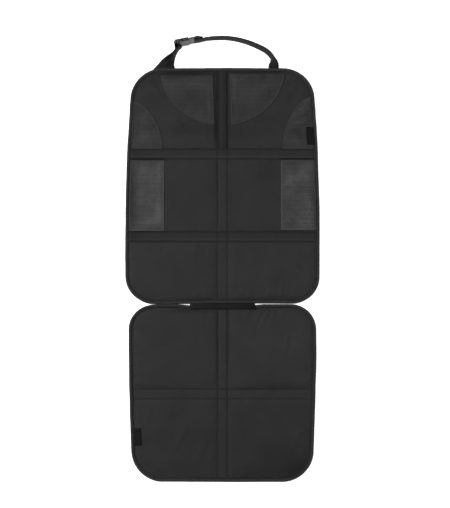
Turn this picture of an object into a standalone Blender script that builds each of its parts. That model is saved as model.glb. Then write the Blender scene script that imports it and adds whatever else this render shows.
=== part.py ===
"""Car seat protector: a padded backrest panel and a padded seat panel, joined at a crease.

The protector lies on its back on a flat surface. Its front faces +Z, the headrest strap is at +Y and the
front edge of the seat is at -Y. Left and right are as seen from the front. The strap and its buckle
stand on edge. Lengths are in metres.
"""

import math

import bmesh
import bpy
from mathutils import Matrix, Vector

# Cloth, tape and clearances
GAP = 0.0003
CLOTH = 0.0008
BINDING_TAPE = 0.0008
BINDING_WIDTH = 0.0086
BINDING_ROUND = 0.0012
FOAM = 0.0040

# Backrest panel
BACK_LENGTH = 0.564
BACK_HEAD_WIDTH = 0.432
BACK_FOOT_WIDTH = 0.463
BACK_SIDE_BOW = 0.0077
BACK_HEAD_RADIUS = 0.072
BACK_FOOT_RADIUS = 0.062

# Seat panel, whose head is the edge at the crease
SEAT_LENGTH = 0.426
SEAT_HEAD_WIDTH = 0.450
SEAT_FOOT_WIDTH = 0.430
SEAT_SIDE_BOW = 0.0036
SEAT_HEAD_RADIUS = 0.060
SEAT_FOOT_RADIUS = 0.072
PANEL_GAP = 0.003

# Fold bands: pairs of seams, each pair placed by its middle below the panel's head edge
BAND_WIDTH = 0.0236
BACK_UPPER_BAND_DOWN = 0.206
BACK_LOWER_BAND_DOWN = 0.4045
SEAT_BAND_DOWN = 0.215

# Each cell between the seams rises from its seams in these steps of run, and shares of its full height
CROWN_STEPS = ((0.007, 0.50), (0.010, 0.80), (0.018, 1.00))

# Mesh pockets on the backrest
NECK_MESH_REACH = 0.150
NECK_MESH_DROP = 0.138
NECK_MOUTH_DOWN = 0.014
SHOULDER_MESH_WIDTH = 0.089
SHOULDER_MESH_HEIGHT = 0.121
SIDE_POCKET_INNER = 0.140
POCKET_SEWN_IN = 0.004

# Bare labels sewn in beside the binding, placed by their middle from the panel's head edge
LABEL_WIDTH = 0.016
LABEL_HEIGHT = 0.042
LABEL_OFFSET = 0.0012
BACK_LABEL_DOWN = 0.163
SEAT_LABEL_DOWN = 0.3175

# Strip that joins the two panels
STRIP_WIDTH = 0.155
STRIP_LAP = 0.0105
TUCK = 0.006

# Webbing of the headrest strap
WEB_WIDTH = 0.025
WEB_THICKNESS = 0.0012
FLOOR_CLEARANCE = 0.0003

# Side-release buckle, standing on its long edge
BUCKLE_WIDTH = 0.033
BUCKLE_THICKNESS = 0.009
BUCKLE_WALL = 0.0020
BUCKLE_EDGE_ROUND = 0.0016
SOCKET_LENGTH = 0.034
WINDOW_FROM_MOUTH = 0.0060
PLUG_BASE_LENGTH = 0.027
PLUG_THICKNESS = 0.0042
PLUG_CHAMFER = 0.0020
PRONG_LENGTH = 0.0165
PRONG_SET_IN = 0.0044
PRONG_ROOT_WIDTH = 0.0045
PRONG_TIP_WIDTH = 0.0018
PRONG_TIP_SET_IN = 0.0012
BARB_SET_IN = 0.0012
BARB_LENGTH = 0.0066
GUIDE_LENGTH = 0.0148
GUIDE_WIDTH = 0.0054
GUIDE_CHAMFER = 0.0009
BAR_WIDTH = 0.0024
BAR_THICKNESS = 0.0036
SLOT_LENGTH = 0.0036
WEB_PLAY = 0.0015
BUCKLE_LEAN = math.radians(16)
BUCKLE_TURN = math.radians(10.6)
BUCKLE_X = -0.0797
BUCKLE_UP = 0.0634

# Angles in degrees, from the buckle's length, between which the webbing runs round each bar
SOCKET_WRAP = (176, -18)
PLUG_WRAP = (270, 90)

# Knots of the strap's legs: x, distance up from the backrest's head edge, roll from flat, lift
LONG_STRAP_KNOTS = (
    (0.1225, -0.0060, 0, 0.0017),
    (0.1225, 0.0020, 0, 0.0017),
    (0.1230, 0.0085, 20, 0.0014),
    (0.1234, 0.0140, 41, 0.0008),
    (0.1216, 0.0230, 64, 0.0003),
    (0.1185, 0.0285, 70, 0.0),
    (0.1104, 0.0377, 70, 0.0),
    (0.0960, 0.0468, 70, 0.0),
    (0.0672, 0.0593, 70, 0.0),
    (0.0384, 0.0682, 70, 0.0004),
    (0.0096, 0.0722, 71, 0.0012),
    (-0.0192, 0.0708, 72, 0.0026),
    (-0.0400, 0.0680, 74, 0.0042),
)
OUTER_LEG_KNOTS = (
    (-0.1740, -0.0300, 0, 0.0011),
    (-0.1465, 0.0000, 0, 0.0011),
    (-0.1385, 0.0089, 6, 0.0011),
    (-0.1345, 0.0137, 24, 0.0010),
    (-0.1318, 0.0185, 40, 0.0013),
    (-0.1288, 0.0233, 54, 0.0018),
    (-0.1252, 0.0280, 64, 0.0024),
    (-0.1212, 0.0329, 70, 0.0031),
    (-0.1175, 0.0377, 72, 0.0038),
    (-0.1154, 0.0430, 73, 0.0044),
    (-0.1150, 0.0500, 74, 0.0048),
)
INNER_LEG_KNOTS = (
    (-0.1098, 0.0490, 74, 0.0062),
    (-0.1112, 0.0430, 74, 0.0064),
    (-0.1142, 0.0377, 73, 0.0054),
    (-0.1168, 0.0329, 71, 0.0041),
    (-0.1190, 0.0280, 68, 0.0030),
    (-0.1207, 0.0233, 63, 0.0025),
    (-0.1227, 0.0185, 54, 0.0022),
    (-0.1244, 0.0137, 42, 0.0022),
    (-0.1264, 0.0089, 25, 0.0022),
    (-0.1275, 0.0020, 0, 0.0023),
    (-0.1275, -0.0055, 0, 0.0023),
)
OUTER_LEG_FOOT_X = -0.1710
LONG_STRAP_TAIL = 0.034

# Fineness of curves
CORNER_STEPS = 6
POCKET_STEPS = 10
KNOT_STEPS = 2
LOOP_STEPS = 8

# Heights of the layers at a seam: rear cover, front cover, pocket, label
LAYER = CLOTH + GAP
REAR_Z = BINDING_TAPE + GAP
FRONT_Z = REAR_Z + LAYER
POCKET_Z = FRONT_Z + LAYER
LABEL_Z = POCKET_Z + LAYER
BINDING_HEIGHT = LABEL_Z + BINDING_TAPE
REAR_PUFF = -REAR_Z
FRONT_PUFF = CLOTH + GAP + FOAM + GAP - FRONT_Z
WALL_Z = BINDING_TAPE + GAP / 2
WALL_TOP_Z = LABEL_Z - GAP / 2

# The crease lies at y = 0 under the parent empty
BACK_FOOT_Y = PANEL_GAP / 2
BACK_HEAD_Y = BACK_FOOT_Y + BACK_LENGTH
SEAT_HEAD_Y = -PANEL_GAP / 2
SEAT_FOOT_Y = SEAT_HEAD_Y - SEAT_LENGTH


class Panel:
    """The plan of one panel: its sides bow out between a head and a foot edge with round corners."""

    def __init__(self, foot_y, head_y, widths, bow, radii, band_ys):
        self.foot_y, self.head_y = foot_y, head_y
        self.foot_width, self.head_width = widths
        self.bow = bow
        self.foot_radius, self.head_radius = radii
        self.band_ys = band_ys

    def half_width(self, y):
        share = (y - self.foot_y) / (self.head_y - self.foot_y)
        straight = self.foot_width + (self.head_width - self.foot_width) * share
        return straight / 2 + self.bow * 4 * share * (1 - share)

    def outline(self, inset=0.0):
        """The edge, counterclockwise from the middle of the foot, moved inwards.

        A side has a point halfway between two bands, clear of the corners that the crowns move inwards.
        """
        right = []
        for step in range(CORNER_STEPS + 1):
            turn = math.radians(-90 + 90 * step / CORNER_STEPS)
            y = self.foot_y + self.foot_radius * (1 + math.sin(turn))
            right.append((self.half_width(y) - self.foot_radius * (1 - math.cos(turn)), y))
        stops = [self.foot_y + self.foot_radius, *sorted(self.band_ys), self.head_y - self.head_radius]
        for low, high in zip(stops, stops[1:]):
            y = (low + high) / 2
            right.append((self.half_width(y), y))
        for step in range(CORNER_STEPS + 1):
            turn = math.radians(90 * step / CORNER_STEPS)
            y = self.head_y - self.head_radius * (1 - math.sin(turn))
            right.append((self.half_width(y) - self.head_radius * (1 - math.cos(turn)), y))
        left = [(-x, y) for x, y in reversed(right)]
        return inset_loop(right + left, inset)

    def seams(self):
        """Each seam as a point on it and the normal of the plane that holds it."""
        half = BAND_WIDTH / 2
        upright = [((side * half, 0, 0), (1, 0, 0)) for side in (-1, 1)]
        across = [((0, y + side * half, 0), (0, 1, 0)) for y in self.band_ys for side in (-1, 1)]
        return upright + across

    def in_cell(self, x, y):
        """Whether a point of the panel lies outside its fold bands."""
        half = BAND_WIDTH / 2
        return abs(x) > half and all(abs(y - band) > half for band in self.band_ys)


def inset_loop(points, distance):
    """A counterclockwise convex loop with each side moved inwards by the distance."""
    if distance == 0:
        return list(points)
    moved = []
    for index, here in enumerate(points):
        before, after = Vector(points[index - 1]), Vector(points[(index + 1) % len(points)])
        here = Vector(here)
        into, out = (here - before).normalized(), (after - here).normalized()
        normal = Vector((-into.y - out.y, into.x + out.x)).normalized()
        step = distance / normal.dot(Vector((-into.y, into.x)))
        moved.append(tuple(here + normal * step))
    return moved


def between(p, q, r, s, t):
    """A value on the smooth curve through four, at the share t of the way from the second to the third."""
    rise, bend, twist = r - p, 2 * p - 5 * q + 4 * r - s, 3 * q - p - 3 * r + s
    return q + (rise * t + bend * t**2 + twist * t**3) / 2


def smooth_knots(knots):
    """Points on a smooth curve through the knots, KNOT_STEPS for each stretch between two of them."""
    found = []
    for index in range(len(knots) - 1):
        near = [knots[min(max(index + shift, 0), len(knots) - 1)] for shift in (-1, 0, 1, 2)]
        for step in range(KNOT_STEPS):
            found.append(tuple(between(*values, step / KNOT_STEPS) for values in zip(*near)))
    return found + [knots[-1]]


def make_material(name, color, roughness, metallic=0.0):
    material = bpy.data.materials.new(name)
    material.use_nodes = True
    shader = material.node_tree.nodes["Principled BSDF"]
    shader.inputs["Base Color"].default_value = (*color, 1.0)
    shader.inputs["Roughness"].default_value = roughness
    shader.inputs["Metallic"].default_value = metallic
    material.diffuse_color = (*color, 1.0)
    return material


def make_materials():
    return {
        "cover_cloth": make_material("cover_cloth", (0.031, 0.031, 0.032), 0.78),
        "rear_cloth": make_material("rear_cloth", (0.026, 0.026, 0.027), 0.85),
        "binding": make_material("binding", (0.027, 0.027, 0.028), 0.70),
        "mesh": make_material("mesh", (0.055, 0.055, 0.056), 0.72),
        "tape": make_material("tape", (0.026, 0.026, 0.027), 0.74),
        "foam": make_material("foam", (0.42, 0.42, 0.40), 0.95),
        "label": make_material("label", (0.012, 0.012, 0.012), 0.55),
        "webbing": make_material("webbing", (0.022, 0.022, 0.023), 0.66),
        "buckle": make_material("buckle", (0.028, 0.028, 0.030), 0.38),
    }


def add_object(name, bm, parent, material=None):
    """An object under the parent from a bmesh, with its faces turned outwards."""
    bmesh.ops.recalc_face_normals(bm, faces=bm.faces[:])
    if bm.calc_volume(signed=True) < 0:
        bmesh.ops.reverse_faces(bm, faces=bm.faces[:])
    mesh = bpy.data.meshes.new(name)
    bm.to_mesh(mesh)
    bm.free()
    obj = bpy.data.objects.new(name, mesh)
    bpy.context.scene.collection.objects.link(obj)
    obj.parent = parent
    if material:
        mesh.materials.append(material)
    return obj


def add_empty(name, matrix, parent=None):
    empty = bpy.data.objects.new(name, None)
    bpy.context.scene.collection.objects.link(empty)
    empty.parent = parent
    empty.matrix_local = matrix
    return empty


def draw_up(bm, height):
    """Closes a sheet into a solid by drawing it straight up."""
    drawn = bmesh.ops.extrude_face_region(bm, geom=bm.faces[:])["geom"]
    raised = [item for item in drawn if isinstance(item, bmesh.types.BMVert)]
    bmesh.ops.translate(bm, verts=raised, vec=(0, 0, height))


def prism(loop, low, high):
    """A bmesh of a plan loop drawn up between two heights."""
    bm = bmesh.new()
    bm.faces.new([bm.verts.new((x, y, low)) for x, y in loop])
    draw_up(bm, high - low)
    return bm


def block(low, high):
    """A bmesh box between two corners."""
    loop = [(low[0], low[1]), (high[0], low[1]), (high[0], high[1]), (low[0], high[1])]
    return prism(loop, low[2], high[2])


def add_cutter(name, bm, parent):
    cutter = add_object(name, bm, parent)
    cutter.hide_render = True
    cutter.display_type = "WIRE"
    return cutter


def apply_boolean(obj, cutter, operation):
    modifier = obj.modifiers.new(cutter.name, "BOOLEAN")
    modifier.operation = operation
    modifier.solver = "EXACT"
    modifier.object = cutter


def cut_along(bm, point, normal, clear=False):
    """Cuts a sheet along an upright plane, and drops what lies beyond it if asked."""
    everything = bm.verts[:] + bm.edges[:] + bm.faces[:]
    bmesh.ops.bisect_plane(bm, geom=everything, plane_co=point, plane_no=normal, clear_outer=clear)


def keep_inside(bm, loop):
    """Trims a sheet to a convex counterclockwise plan loop."""
    for (ax, ay), (bx, by) in zip(loop, loop[1:] + loop[:1]):
        cut_along(bm, (ax, ay, 0), (by - ay, ax - bx, 0), clear=True)


def cut_notch(bm, low, high):
    """Cuts an upright rectangular notch out of a sheet."""
    for point, normal in ((low, (1, 0, 0)), (high, (1, 0, 0)), (low, (0, 1, 0)), (high, (0, 1, 0))):
        cut_along(bm, (*point, 0), normal)
    middles = {face: face.calc_center_median() for face in bm.faces}
    inside = [f for f, m in middles.items() if low[0] < m.x < high[0] and low[1] < m.y < high[1]]
    bmesh.ops.delete(bm, geom=inside, context="FACES")


def crowned_sheet(panel, z, puff, inset):
    """The underside of a cloth over a panel, sewn flat along its seams and puffed between them."""
    bm = bmesh.new()
    within = bm.faces.layers.int.new("within_binding")
    face = bm.faces.new([bm.verts.new((x, y, z)) for x, y in panel.outline(inset)])
    face.normal_update()
    bmesh.ops.inset_individual(bm, faces=[face], thickness=BINDING_WIDTH - inset, use_even_offset=True)
    face[within] = 1
    for point, normal in panel.seams():
        cut_along(bm, point, normal)
    bm.normal_update()
    cells = [f for f in bm.faces if f[within] and panel.in_cell(*f.calc_center_median().xy)]
    risen = 0.0
    for run, share in CROWN_STEPS:
        bmesh.ops.inset_individual(
            bm, faces=cells, thickness=run, depth=puff * (share - risen), use_even_offset=True
        )
        risen = share
    return bm


def cell_loops(panel):
    """The plan of each cell between the seams, from the foot up and from left to right."""
    bm = bmesh.new()
    bm.faces.new([bm.verts.new((x, y, 0)) for x, y in panel.outline(BINDING_WIDTH)])
    for point, normal in panel.seams():
        cut_along(bm, point, normal)
    cells = [f for f in bm.faces if panel.in_cell(*f.calc_center_median().xy)]
    row_of = {f: sum(f.calc_center_median().y > band for band in panel.band_ys) for f in cells}
    cells.sort(key=lambda f: (row_of[f], f.calc_center_median().x))
    loops = [[tuple(v.co.xy) for v in f.verts] for f in cells]
    bm.free()
    return loops


def foam_pad(loop):
    """A pad of foam that fills the cell between the two covers, thinning out towards the seams."""
    bm = bmesh.new()
    (first_run, first_share), *steps = CROWN_STEPS
    ring = inset_loop(loop, first_run)
    for seam_z, puff in ((REAR_Z + LAYER, REAR_PUFF), (FRONT_Z - GAP, FRONT_PUFF)):
        z = seam_z + puff * first_share
        face = bm.faces.new([bm.verts.new((x, y, z)) for x, y in ring])
        face.normal_update()
        risen = first_share
        for run, share in steps:
            bmesh.ops.inset_individual(
                bm, faces=[face], thickness=run, depth=puff * (share - risen), use_even_offset=True
            )
            risen = share
    bmesh.ops.bridge_loops(bm, edges=[edge for edge in bm.edges if edge.is_boundary])
    return bm


def edge_binding(panel):
    """Tape folded round the panel's edge, with the cloth between its two legs."""
    tape, round_off, top = BINDING_TAPE, BINDING_ROUND, BINDING_HEIGHT
    section = [
        (BINDING_WIDTH, 0),
        (round_off, 0),
        (0, round_off),
        (0, top - round_off),
        (round_off, top),
        (BINDING_WIDTH, top),
        (BINDING_WIDTH, top - tape),
        (tape, top - tape),
        (tape, tape),
        (BINDING_WIDTH, tape),
    ]
    bm = bmesh.new()
    rings = [[bm.verts.new((x, y, z)) for x, y in panel.outline(inset)] for inset, z in section]
    for index, ring in enumerate(rings):
        below = rings[index - 1]
        for step in range(len(ring)):
            after = (step + 1) % len(ring)
            bm.faces.new((below[step], below[after], ring[after], ring[step]))
    return bm


def quarter_curve(centre, reach, side, steps=POCKET_STEPS):
    """A quarter ellipse from beside its centre round to above or below it."""
    (x, y), (across, up) = centre, reach
    turns = [math.radians(90 * step / steps) for step in range(steps + 1)]
    return [(x + side * across * math.cos(turn), y + up * math.sin(turn)) for turn in turns]


def neck_mesh_loop(panel, side):
    """The quarter round of mesh beside the centre band, open at the neck."""
    inner = BAND_WIDTH / 2 + GAP
    mouth = panel.head_y - NECK_MOUTH_DOWN
    curve = quarter_curve((0, panel.head_y), (NECK_MESH_REACH, -NECK_MESH_DROP), side)
    kept = [(x, y) for x, y in curve if y < mouth and abs(x) > inner]
    fall = (inner / NECK_MESH_REACH) ** 2
    lowest = panel.head_y - NECK_MESH_DROP * math.sqrt(1 - fall)
    spread = (NECK_MOUTH_DOWN / NECK_MESH_DROP) ** 2
    widest = side * NECK_MESH_REACH * math.sqrt(1 - spread)
    return [(side * inner, mouth), (widest, mouth), *kept, (side * inner, lowest)]


def shoulder_mesh_loop(panel, side):
    """The mesh at the panel's side above the upper band, narrowing upwards."""
    foot = panel.band_ys[0] + BAND_WIDTH / 2 + GAP
    edge = panel.half_width(foot)
    curve = quarter_curve((side * edge, foot), (SHOULDER_MESH_WIDTH, SHOULDER_MESH_HEIGHT), -side)
    rail = [
        (side * (panel.half_width(y) - POCKET_SEWN_IN), y)
        for y in (foot + SHOULDER_MESH_HEIGHT, foot + SHOULDER_MESH_HEIGHT / 2, foot)
    ]
    inside = [(x, y) for x, y in curve if abs(x) < panel.half_width(y) - POCKET_SEWN_IN - GAP]
    return inside + rail


def side_pocket_loop(panel, side):
    """The mesh pocket at the panel's side between the two bands."""
    half = BAND_WIDTH / 2 + GAP
    foot, head = panel.band_ys[1] + half, panel.band_ys[0] - half
    rail = [
        (side * (panel.half_width(y) - POCKET_SEWN_IN), y)
        for y in (head, head + (foot - head) / 2, foot)
    ]
    return [(side * SIDE_POCKET_INNER, foot), (side * SIDE_POCKET_INNER, head), *rail]


def cross_tape_loop(panel, band_y):
    """A tape over one fold band, its ends tucked under the binding."""
    low, high = band_y - BAND_WIDTH / 2, band_y + BAND_WIDTH / 2
    reach = {y: panel.half_width(y) - POCKET_SEWN_IN for y in (low, high)}
    return [(-reach[low], low), (reach[low], low), (reach[high], high), (-reach[high], high)]


def label_loop(panel, middle_y, side):
    """A label that starts at the binding's inner edge and follows its slope."""
    low, high = middle_y - LABEL_HEIGHT / 2, middle_y + LABEL_HEIGHT / 2
    edge = {y: panel.half_width(y) - BINDING_WIDTH - LABEL_OFFSET for y in (low, high)}
    return [
        (side * edge[low], low),
        (side * edge[high], high),
        (side * (edge[high] - LABEL_WIDTH), high),
        (side * (edge[low] - LABEL_WIDTH), low),
    ]


def add_on_layer(name, panel, z, loop, parent, material):
    """A piece of cloth of the given plan that follows the crowned cover below it."""
    turned = sum(a[0] * b[1] - b[0] * a[1] for a, b in zip(loop, loop[1:] + loop[:1])) < 0
    bm = crowned_sheet(panel, z, FRONT_PUFF, BINDING_TAPE + GAP)
    keep_inside(bm, loop[::-1] if turned else loop)
    draw_up(bm, CLOTH)
    add_object(name, bm, parent, material)


def add_cover(name, panel, z, puff, notches, parent, material):
    bm = crowned_sheet(panel, z, puff, BINDING_TAPE + GAP)
    for low, high in notches:
        cut_notch(bm, low, high)
    draw_up(bm, CLOTH)
    add_object(name, bm, parent, material)


def add_panel(name, panel, row_names, notches, parent, materials):
    """The covers, foam pads and binding of a panel, without the pieces sewn on its front."""
    add_cover(f"{name}_rear_cover", panel, REAR_Z, REAR_PUFF, notches, parent, materials["rear_cloth"])
    add_cover(f"{name}_front_cover", panel, FRONT_Z, FRONT_PUFF, notches, parent, materials["cover_cloth"])
    for index, loop in enumerate(cell_loops(panel)):
        row, side = row_names[index // 2], ("left", "right")[index % 2]
        add_object(f"{name}_pad_{row}_{side}", foam_pad(loop), parent, materials["foam"])
    binding = add_object(f"{name}_binding", edge_binding(panel), parent, materials["binding"])
    for index, (low, high) in enumerate(notches):
        slit = block((*low, WALL_Z), (*high, WALL_TOP_Z))
        apply_boolean(binding, add_cutter(f"{name}_slit_{index + 1}", slit, parent), "DIFFERENCE")


def add_pockets(panel, parent, materials):
    for side, word in ((-1, "left"), (1, "right")):
        for name, loop in (
            ("neck_mesh", neck_mesh_loop(panel, side)),
            ("shoulder_mesh", shoulder_mesh_loop(panel, side)),
            ("side_pocket", side_pocket_loop(panel, side)),
        ):
            add_on_layer(f"{name}_{word}", panel, POCKET_Z, loop, parent, materials["mesh"])


def add_tapes(panel, parent, materials):
    for word, band_y in zip(("upper", "lower"), panel.band_ys):
        bm = prism(cross_tape_loop(panel, band_y), POCKET_Z, POCKET_Z + CLOTH)
        add_object(f"cross_tape_{word}", bm, parent, materials["tape"])
    low = (-BAND_WIDTH / 2, panel.band_ys[0] + BAND_WIDTH / 2 + GAP, POCKET_Z)
    high = (BAND_WIDTH / 2, panel.head_y - POCKET_SEWN_IN, POCKET_Z + CLOTH)
    add_object("centre_tape", block(low, high), parent, materials["tape"])


def strip_between(stations, width, thickness):
    """A flat strip through (middle, direction of its width) stations, closed at both ends."""
    bm = bmesh.new()
    rings = []
    for index, (middle, across) in enumerate(stations):
        before = stations[max(index - 1, 0)][0]
        after = stations[min(index + 1, len(stations) - 1)][0]
        face = (after - before).cross(across).normalized() * thickness / 2
        side = across * width / 2
        corners = (middle - side - face, middle + side - face, middle + side + face, middle - side + face)
        rings.append([bm.verts.new(corner) for corner in corners])
    for below, above in zip(rings, rings[1:]):
        for step in range(4):
            after = (step + 1) % 4
            bm.faces.new((below[step], below[after], above[after], above[step]))
    bm.faces.new(rings[0][::-1])
    bm.faces.new(rings[-1])
    return bm


def rest_height(roll):
    """How high the webbing's middle is when it stands on the floor, turned by this much from flat."""
    return WEB_WIDTH / 2 * math.sin(roll) + WEB_THICKNESS / 2 * math.cos(roll) + FLOOR_CLEARANCE


def leg_stations(knots, outward_turn):
    """Stations along a leg of the strap. The outer edge of the webbing rises as the leg rolls."""
    points = []
    for x, up, roll, lift in smooth_knots(knots):
        turn = math.radians(roll)
        points.append((Vector((x, BACK_HEAD_Y + up, rest_height(turn) + lift)), turn))
    stations = []
    for index, (middle, turn) in enumerate(points):
        along = points[min(index + 1, len(points) - 1)][0] - points[max(index - 1, 0)][0]
        outward = Vector((along.y, -along.x, 0)).normalized() * outward_turn
        stations.append((middle, outward * math.cos(turn) + Vector((0, 0, math.sin(turn)))))
    return stations


def buckle_matrix():
    """The buckle's place: X along it, Y through its thickness and Z across its width."""
    along = Vector((math.cos(BUCKLE_TURN), math.sin(BUCKLE_TURN), 0))
    outward = Vector((-math.sin(BUCKLE_TURN), math.cos(BUCKLE_TURN), 0))
    up = Vector((0, 0, 1))
    across = outward * math.sin(BUCKLE_LEAN) + up * math.cos(BUCKLE_LEAN)
    through = outward * math.cos(BUCKLE_LEAN) - up * math.sin(BUCKLE_LEAN)
    height = (BUCKLE_WIDTH * math.cos(BUCKLE_LEAN) + BUCKLE_THICKNESS * math.sin(BUCKLE_LEAN)) / 2
    matrix = Matrix((along, through, across)).transposed().to_4x4()
    matrix.translation = (BUCKLE_X, BACK_HEAD_Y + BUCKLE_UP, height + FLOOR_CLEARANCE)
    return matrix


def loop_stations(matrix, bar_x, radius, wrap):
    """Stations round a bar of the buckle, between two angles in degrees."""
    across = matrix.to_3x3() @ Vector((0, 0, 1))
    start, end = wrap
    found = []
    for step in range(LOOP_STEPS + 1):
        turn = math.radians(start + (end - start) * step / LOOP_STEPS)
        spot = Vector((bar_x + radius * math.cos(turn), radius * math.sin(turn), 0))
        found.append((matrix @ spot, across))
    return found


def bar_radius(thickness):
    """The middle of webbing wrapped round a bar of this thickness."""
    return math.hypot(BAR_WIDTH, thickness) / 2 + GAP + WEB_THICKNESS / 2


def add_strap(matrix, parent, materials):
    socket_bar_x = -SOCKET_LENGTH + BAR_WIDTH / 2
    wrap = loop_stations(matrix, socket_bar_x, bar_radius(BAR_THICKNESS), SOCKET_WRAP)
    legs = leg_stations(OUTER_LEG_KNOTS, -1) + wrap + leg_stations(INNER_LEG_KNOTS, 1)
    bm = strip_between(legs, WEB_WIDTH, WEB_THICKNESS)
    cut_along(bm, (0, BACK_HEAD_Y - TUCK, 0), (0, -1, 0), clear=True)
    bmesh.ops.holes_fill(bm, edges=[edge for edge in bm.edges if edge.is_boundary])
    add_object("strap_loop", bm, parent, materials["webbing"])

    radius = bar_radius(PLUG_THICKNESS)
    bar_x = PLUG_BASE_LENGTH / 2 + radius / 2
    wrap = loop_stations(matrix, bar_x, radius, PLUG_WRAP)
    across = wrap[0][1]
    run_in = (matrix @ Vector((PLUG_BASE_LENGTH, -radius, 0)), across)
    tail = (matrix @ Vector((LONG_STRAP_TAIL, radius, 0)), across)
    stations = leg_stations(LONG_STRAP_KNOTS, 1) + [run_in] + wrap + [tail]
    bm = strip_between(stations, WEB_WIDTH, WEB_THICKNESS)
    add_object("strap_long", bm, parent, materials["webbing"])
    return bar_x, radius


def add_socket(parent, materials):
    """The buckle's outer half: a flat shell with a webbing bar at its closed end."""
    half_width, half_thickness = BUCKLE_WIDTH / 2, BUCKLE_THICKNESS / 2
    bm = block((-SOCKET_LENGTH, -half_thickness, -half_width), (0, half_thickness, half_width))
    bmesh.ops.bevel(
        bm, geom=bm.edges[:], offset=BUCKLE_EDGE_ROUND, segments=2, profile=0.5, affect="EDGES"
    )
    socket = add_object("buckle_socket", bm, parent, materials["buckle"])
    inside = half_width - BUCKLE_WALL - GAP
    cavity = PLUG_THICKNESS / 2 + GAP * 2
    web = WEB_WIDTH / 2 + WEB_PLAY
    slot_start = -SOCKET_LENGTH + BAR_WIDTH
    slot_end = slot_start + SLOT_LENGTH
    beyond = SOCKET_LENGTH * 2
    cuts = {
        "cavity": ((-PRONG_LENGTH - BUCKLE_WALL, -cavity, -inside), (beyond, cavity, inside)),
        "webbing_slot": ((slot_start, -beyond, -web), (slot_end, beyond, web)),
        "bar_front": ((-beyond, BAR_THICKNESS / 2, -web), (slot_end, beyond, web)),
        "bar_rear": ((-beyond, -beyond, -web), (slot_end, -BAR_THICKNESS / 2, web)),
        "windows": ((-PRONG_LENGTH - GAP * 2, -cavity, -beyond), (-WINDOW_FROM_MOUTH, cavity, beyond)),
    }
    for name, (corner, opposite) in cuts.items():
        apply_boolean(socket, add_cutter("socket_" + name, block(corner, opposite), parent), "DIFFERENCE")


def add_plug(bar_x, radius, parent, materials):
    """The buckle's inner half: two prongs with barbs, a guide between them and a slotted base."""
    half = BUCKLE_WIDTH / 2
    root = half - PRONG_SET_IN
    barb = half - BARB_SET_IN
    guide = GUIDE_WIDTH / 2
    shoulder = -WINDOW_FROM_MOUTH - GAP * 2
    crotch = GAP * 3
    tip = root - PRONG_TIP_SET_IN
    upper = [
        (-GUIDE_LENGTH, guide - GUIDE_CHAMFER),
        (-GUIDE_LENGTH + GUIDE_CHAMFER, guide),
        (crotch, guide),
        (crotch, root - PRONG_ROOT_WIDTH),
        (-PRONG_LENGTH, tip - PRONG_TIP_WIDTH),
        (-PRONG_LENGTH, tip),
        (shoulder - BARB_LENGTH, barb - PRONG_TIP_SET_IN),
        (shoulder - GUIDE_CHAMFER, barb),
        (shoulder, root),
        (GAP, root),
        (GAP, half),
        (PLUG_BASE_LENGTH - PLUG_CHAMFER, half),
        (PLUG_BASE_LENGTH, half - PLUG_CHAMFER),
    ]
    loop = upper + [(x, -z) for x, z in reversed(upper)]
    bm = prism(loop[::-1], -PLUG_THICKNESS / 2, PLUG_THICKNESS / 2)
    bmesh.ops.rotate(bm, verts=bm.verts[:], cent=(0, 0, 0), matrix=Matrix.Rotation(math.pi / 2, 3, "X"))
    plug = add_object("buckle_plug", bm, parent, materials["buckle"])
    web = WEB_WIDTH / 2 + WEB_PLAY
    inner = bar_x - radius - WEB_THICKNESS / 2 - GAP
    bar = inner + SLOT_LENGTH
    outer = PLUG_BASE_LENGTH - BAR_WIDTH
    for name, (start, end) in {"inner_slot": (inner, bar), "outer_slot": (bar + BAR_WIDTH, outer)}.items():
        cutter = block((start, -half, -web), (end, half, web))
        apply_boolean(plug, add_cutter("plug_" + name, cutter, parent), "DIFFERENCE")


def add_joining_strip(parent, materials):
    """A dark strip from inside the backrest's binding over the seat's head edge."""
    tuck_z = BINDING_HEIGHT / 2
    lap_z = BINDING_HEIGHT + GAP + CLOTH / 2
    side = Vector((1, 0, 0))
    places = [
        (BACK_FOOT_Y + TUCK, tuck_z),
        (BACK_FOOT_Y + GAP, tuck_z),
        (0, (tuck_z + lap_z) / 2 + CLOTH / 2),
        (SEAT_HEAD_Y + CLOTH, lap_z),
        (SEAT_HEAD_Y - STRIP_LAP, lap_z),
    ]
    stations = [(Vector((0, y, z)), side) for y, z in places]
    bm = strip_between(stations, STRIP_WIDTH, CLOTH)
    add_object("joining_strip", bm, parent, materials["webbing"])


def edge_slits():
    """Plans of the slits in the backrest's edge, where the strap and the joining strip are sewn in."""
    margin = GAP * 2
    half = WEB_WIDTH / 2 + margin
    long_x, inner_x = LONG_STRAP_KNOTS[0][0], INNER_LEG_KNOTS[-1][0]
    head_low, head_high = BACK_HEAD_Y - TUCK - margin - GAP, BACK_HEAD_Y + TUCK
    foot_low, foot_high = BACK_FOOT_Y - TUCK, BACK_FOOT_Y + TUCK + margin + GAP
    return (
        ((long_x - half, head_low), (long_x + half, head_high)),
        ((OUTER_LEG_FOOT_X - margin, head_low), (inner_x + half, head_high)),
        ((-STRIP_WIDTH / 2 - margin, foot_low), (STRIP_WIDTH / 2 + margin, foot_high)),
    )


def centre_over_origin(parent):
    """Moves the parent so that the origin is under the middle of everything that it carries."""
    bpy.context.view_layer.update()
    graph = bpy.context.evaluated_depsgraph_get()
    xs, ys = [], []
    for obj in bpy.context.scene.objects:
        if obj.type == "MESH" and not obj.hide_render:
            evaluated = obj.evaluated_get(graph)
            corners = [evaluated.matrix_world @ vertex.co for vertex in evaluated.data.vertices]
            xs += [corner.x for corner in corners]
            ys += [corner.y for corner in corners]
    parent.location.x -= (min(xs) + max(xs)) / 2
    parent.location.y -= (min(ys) + max(ys)) / 2


def clear_scene():
    for obj in list(bpy.data.objects):
        bpy.data.objects.remove(obj, do_unlink=True)


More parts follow.
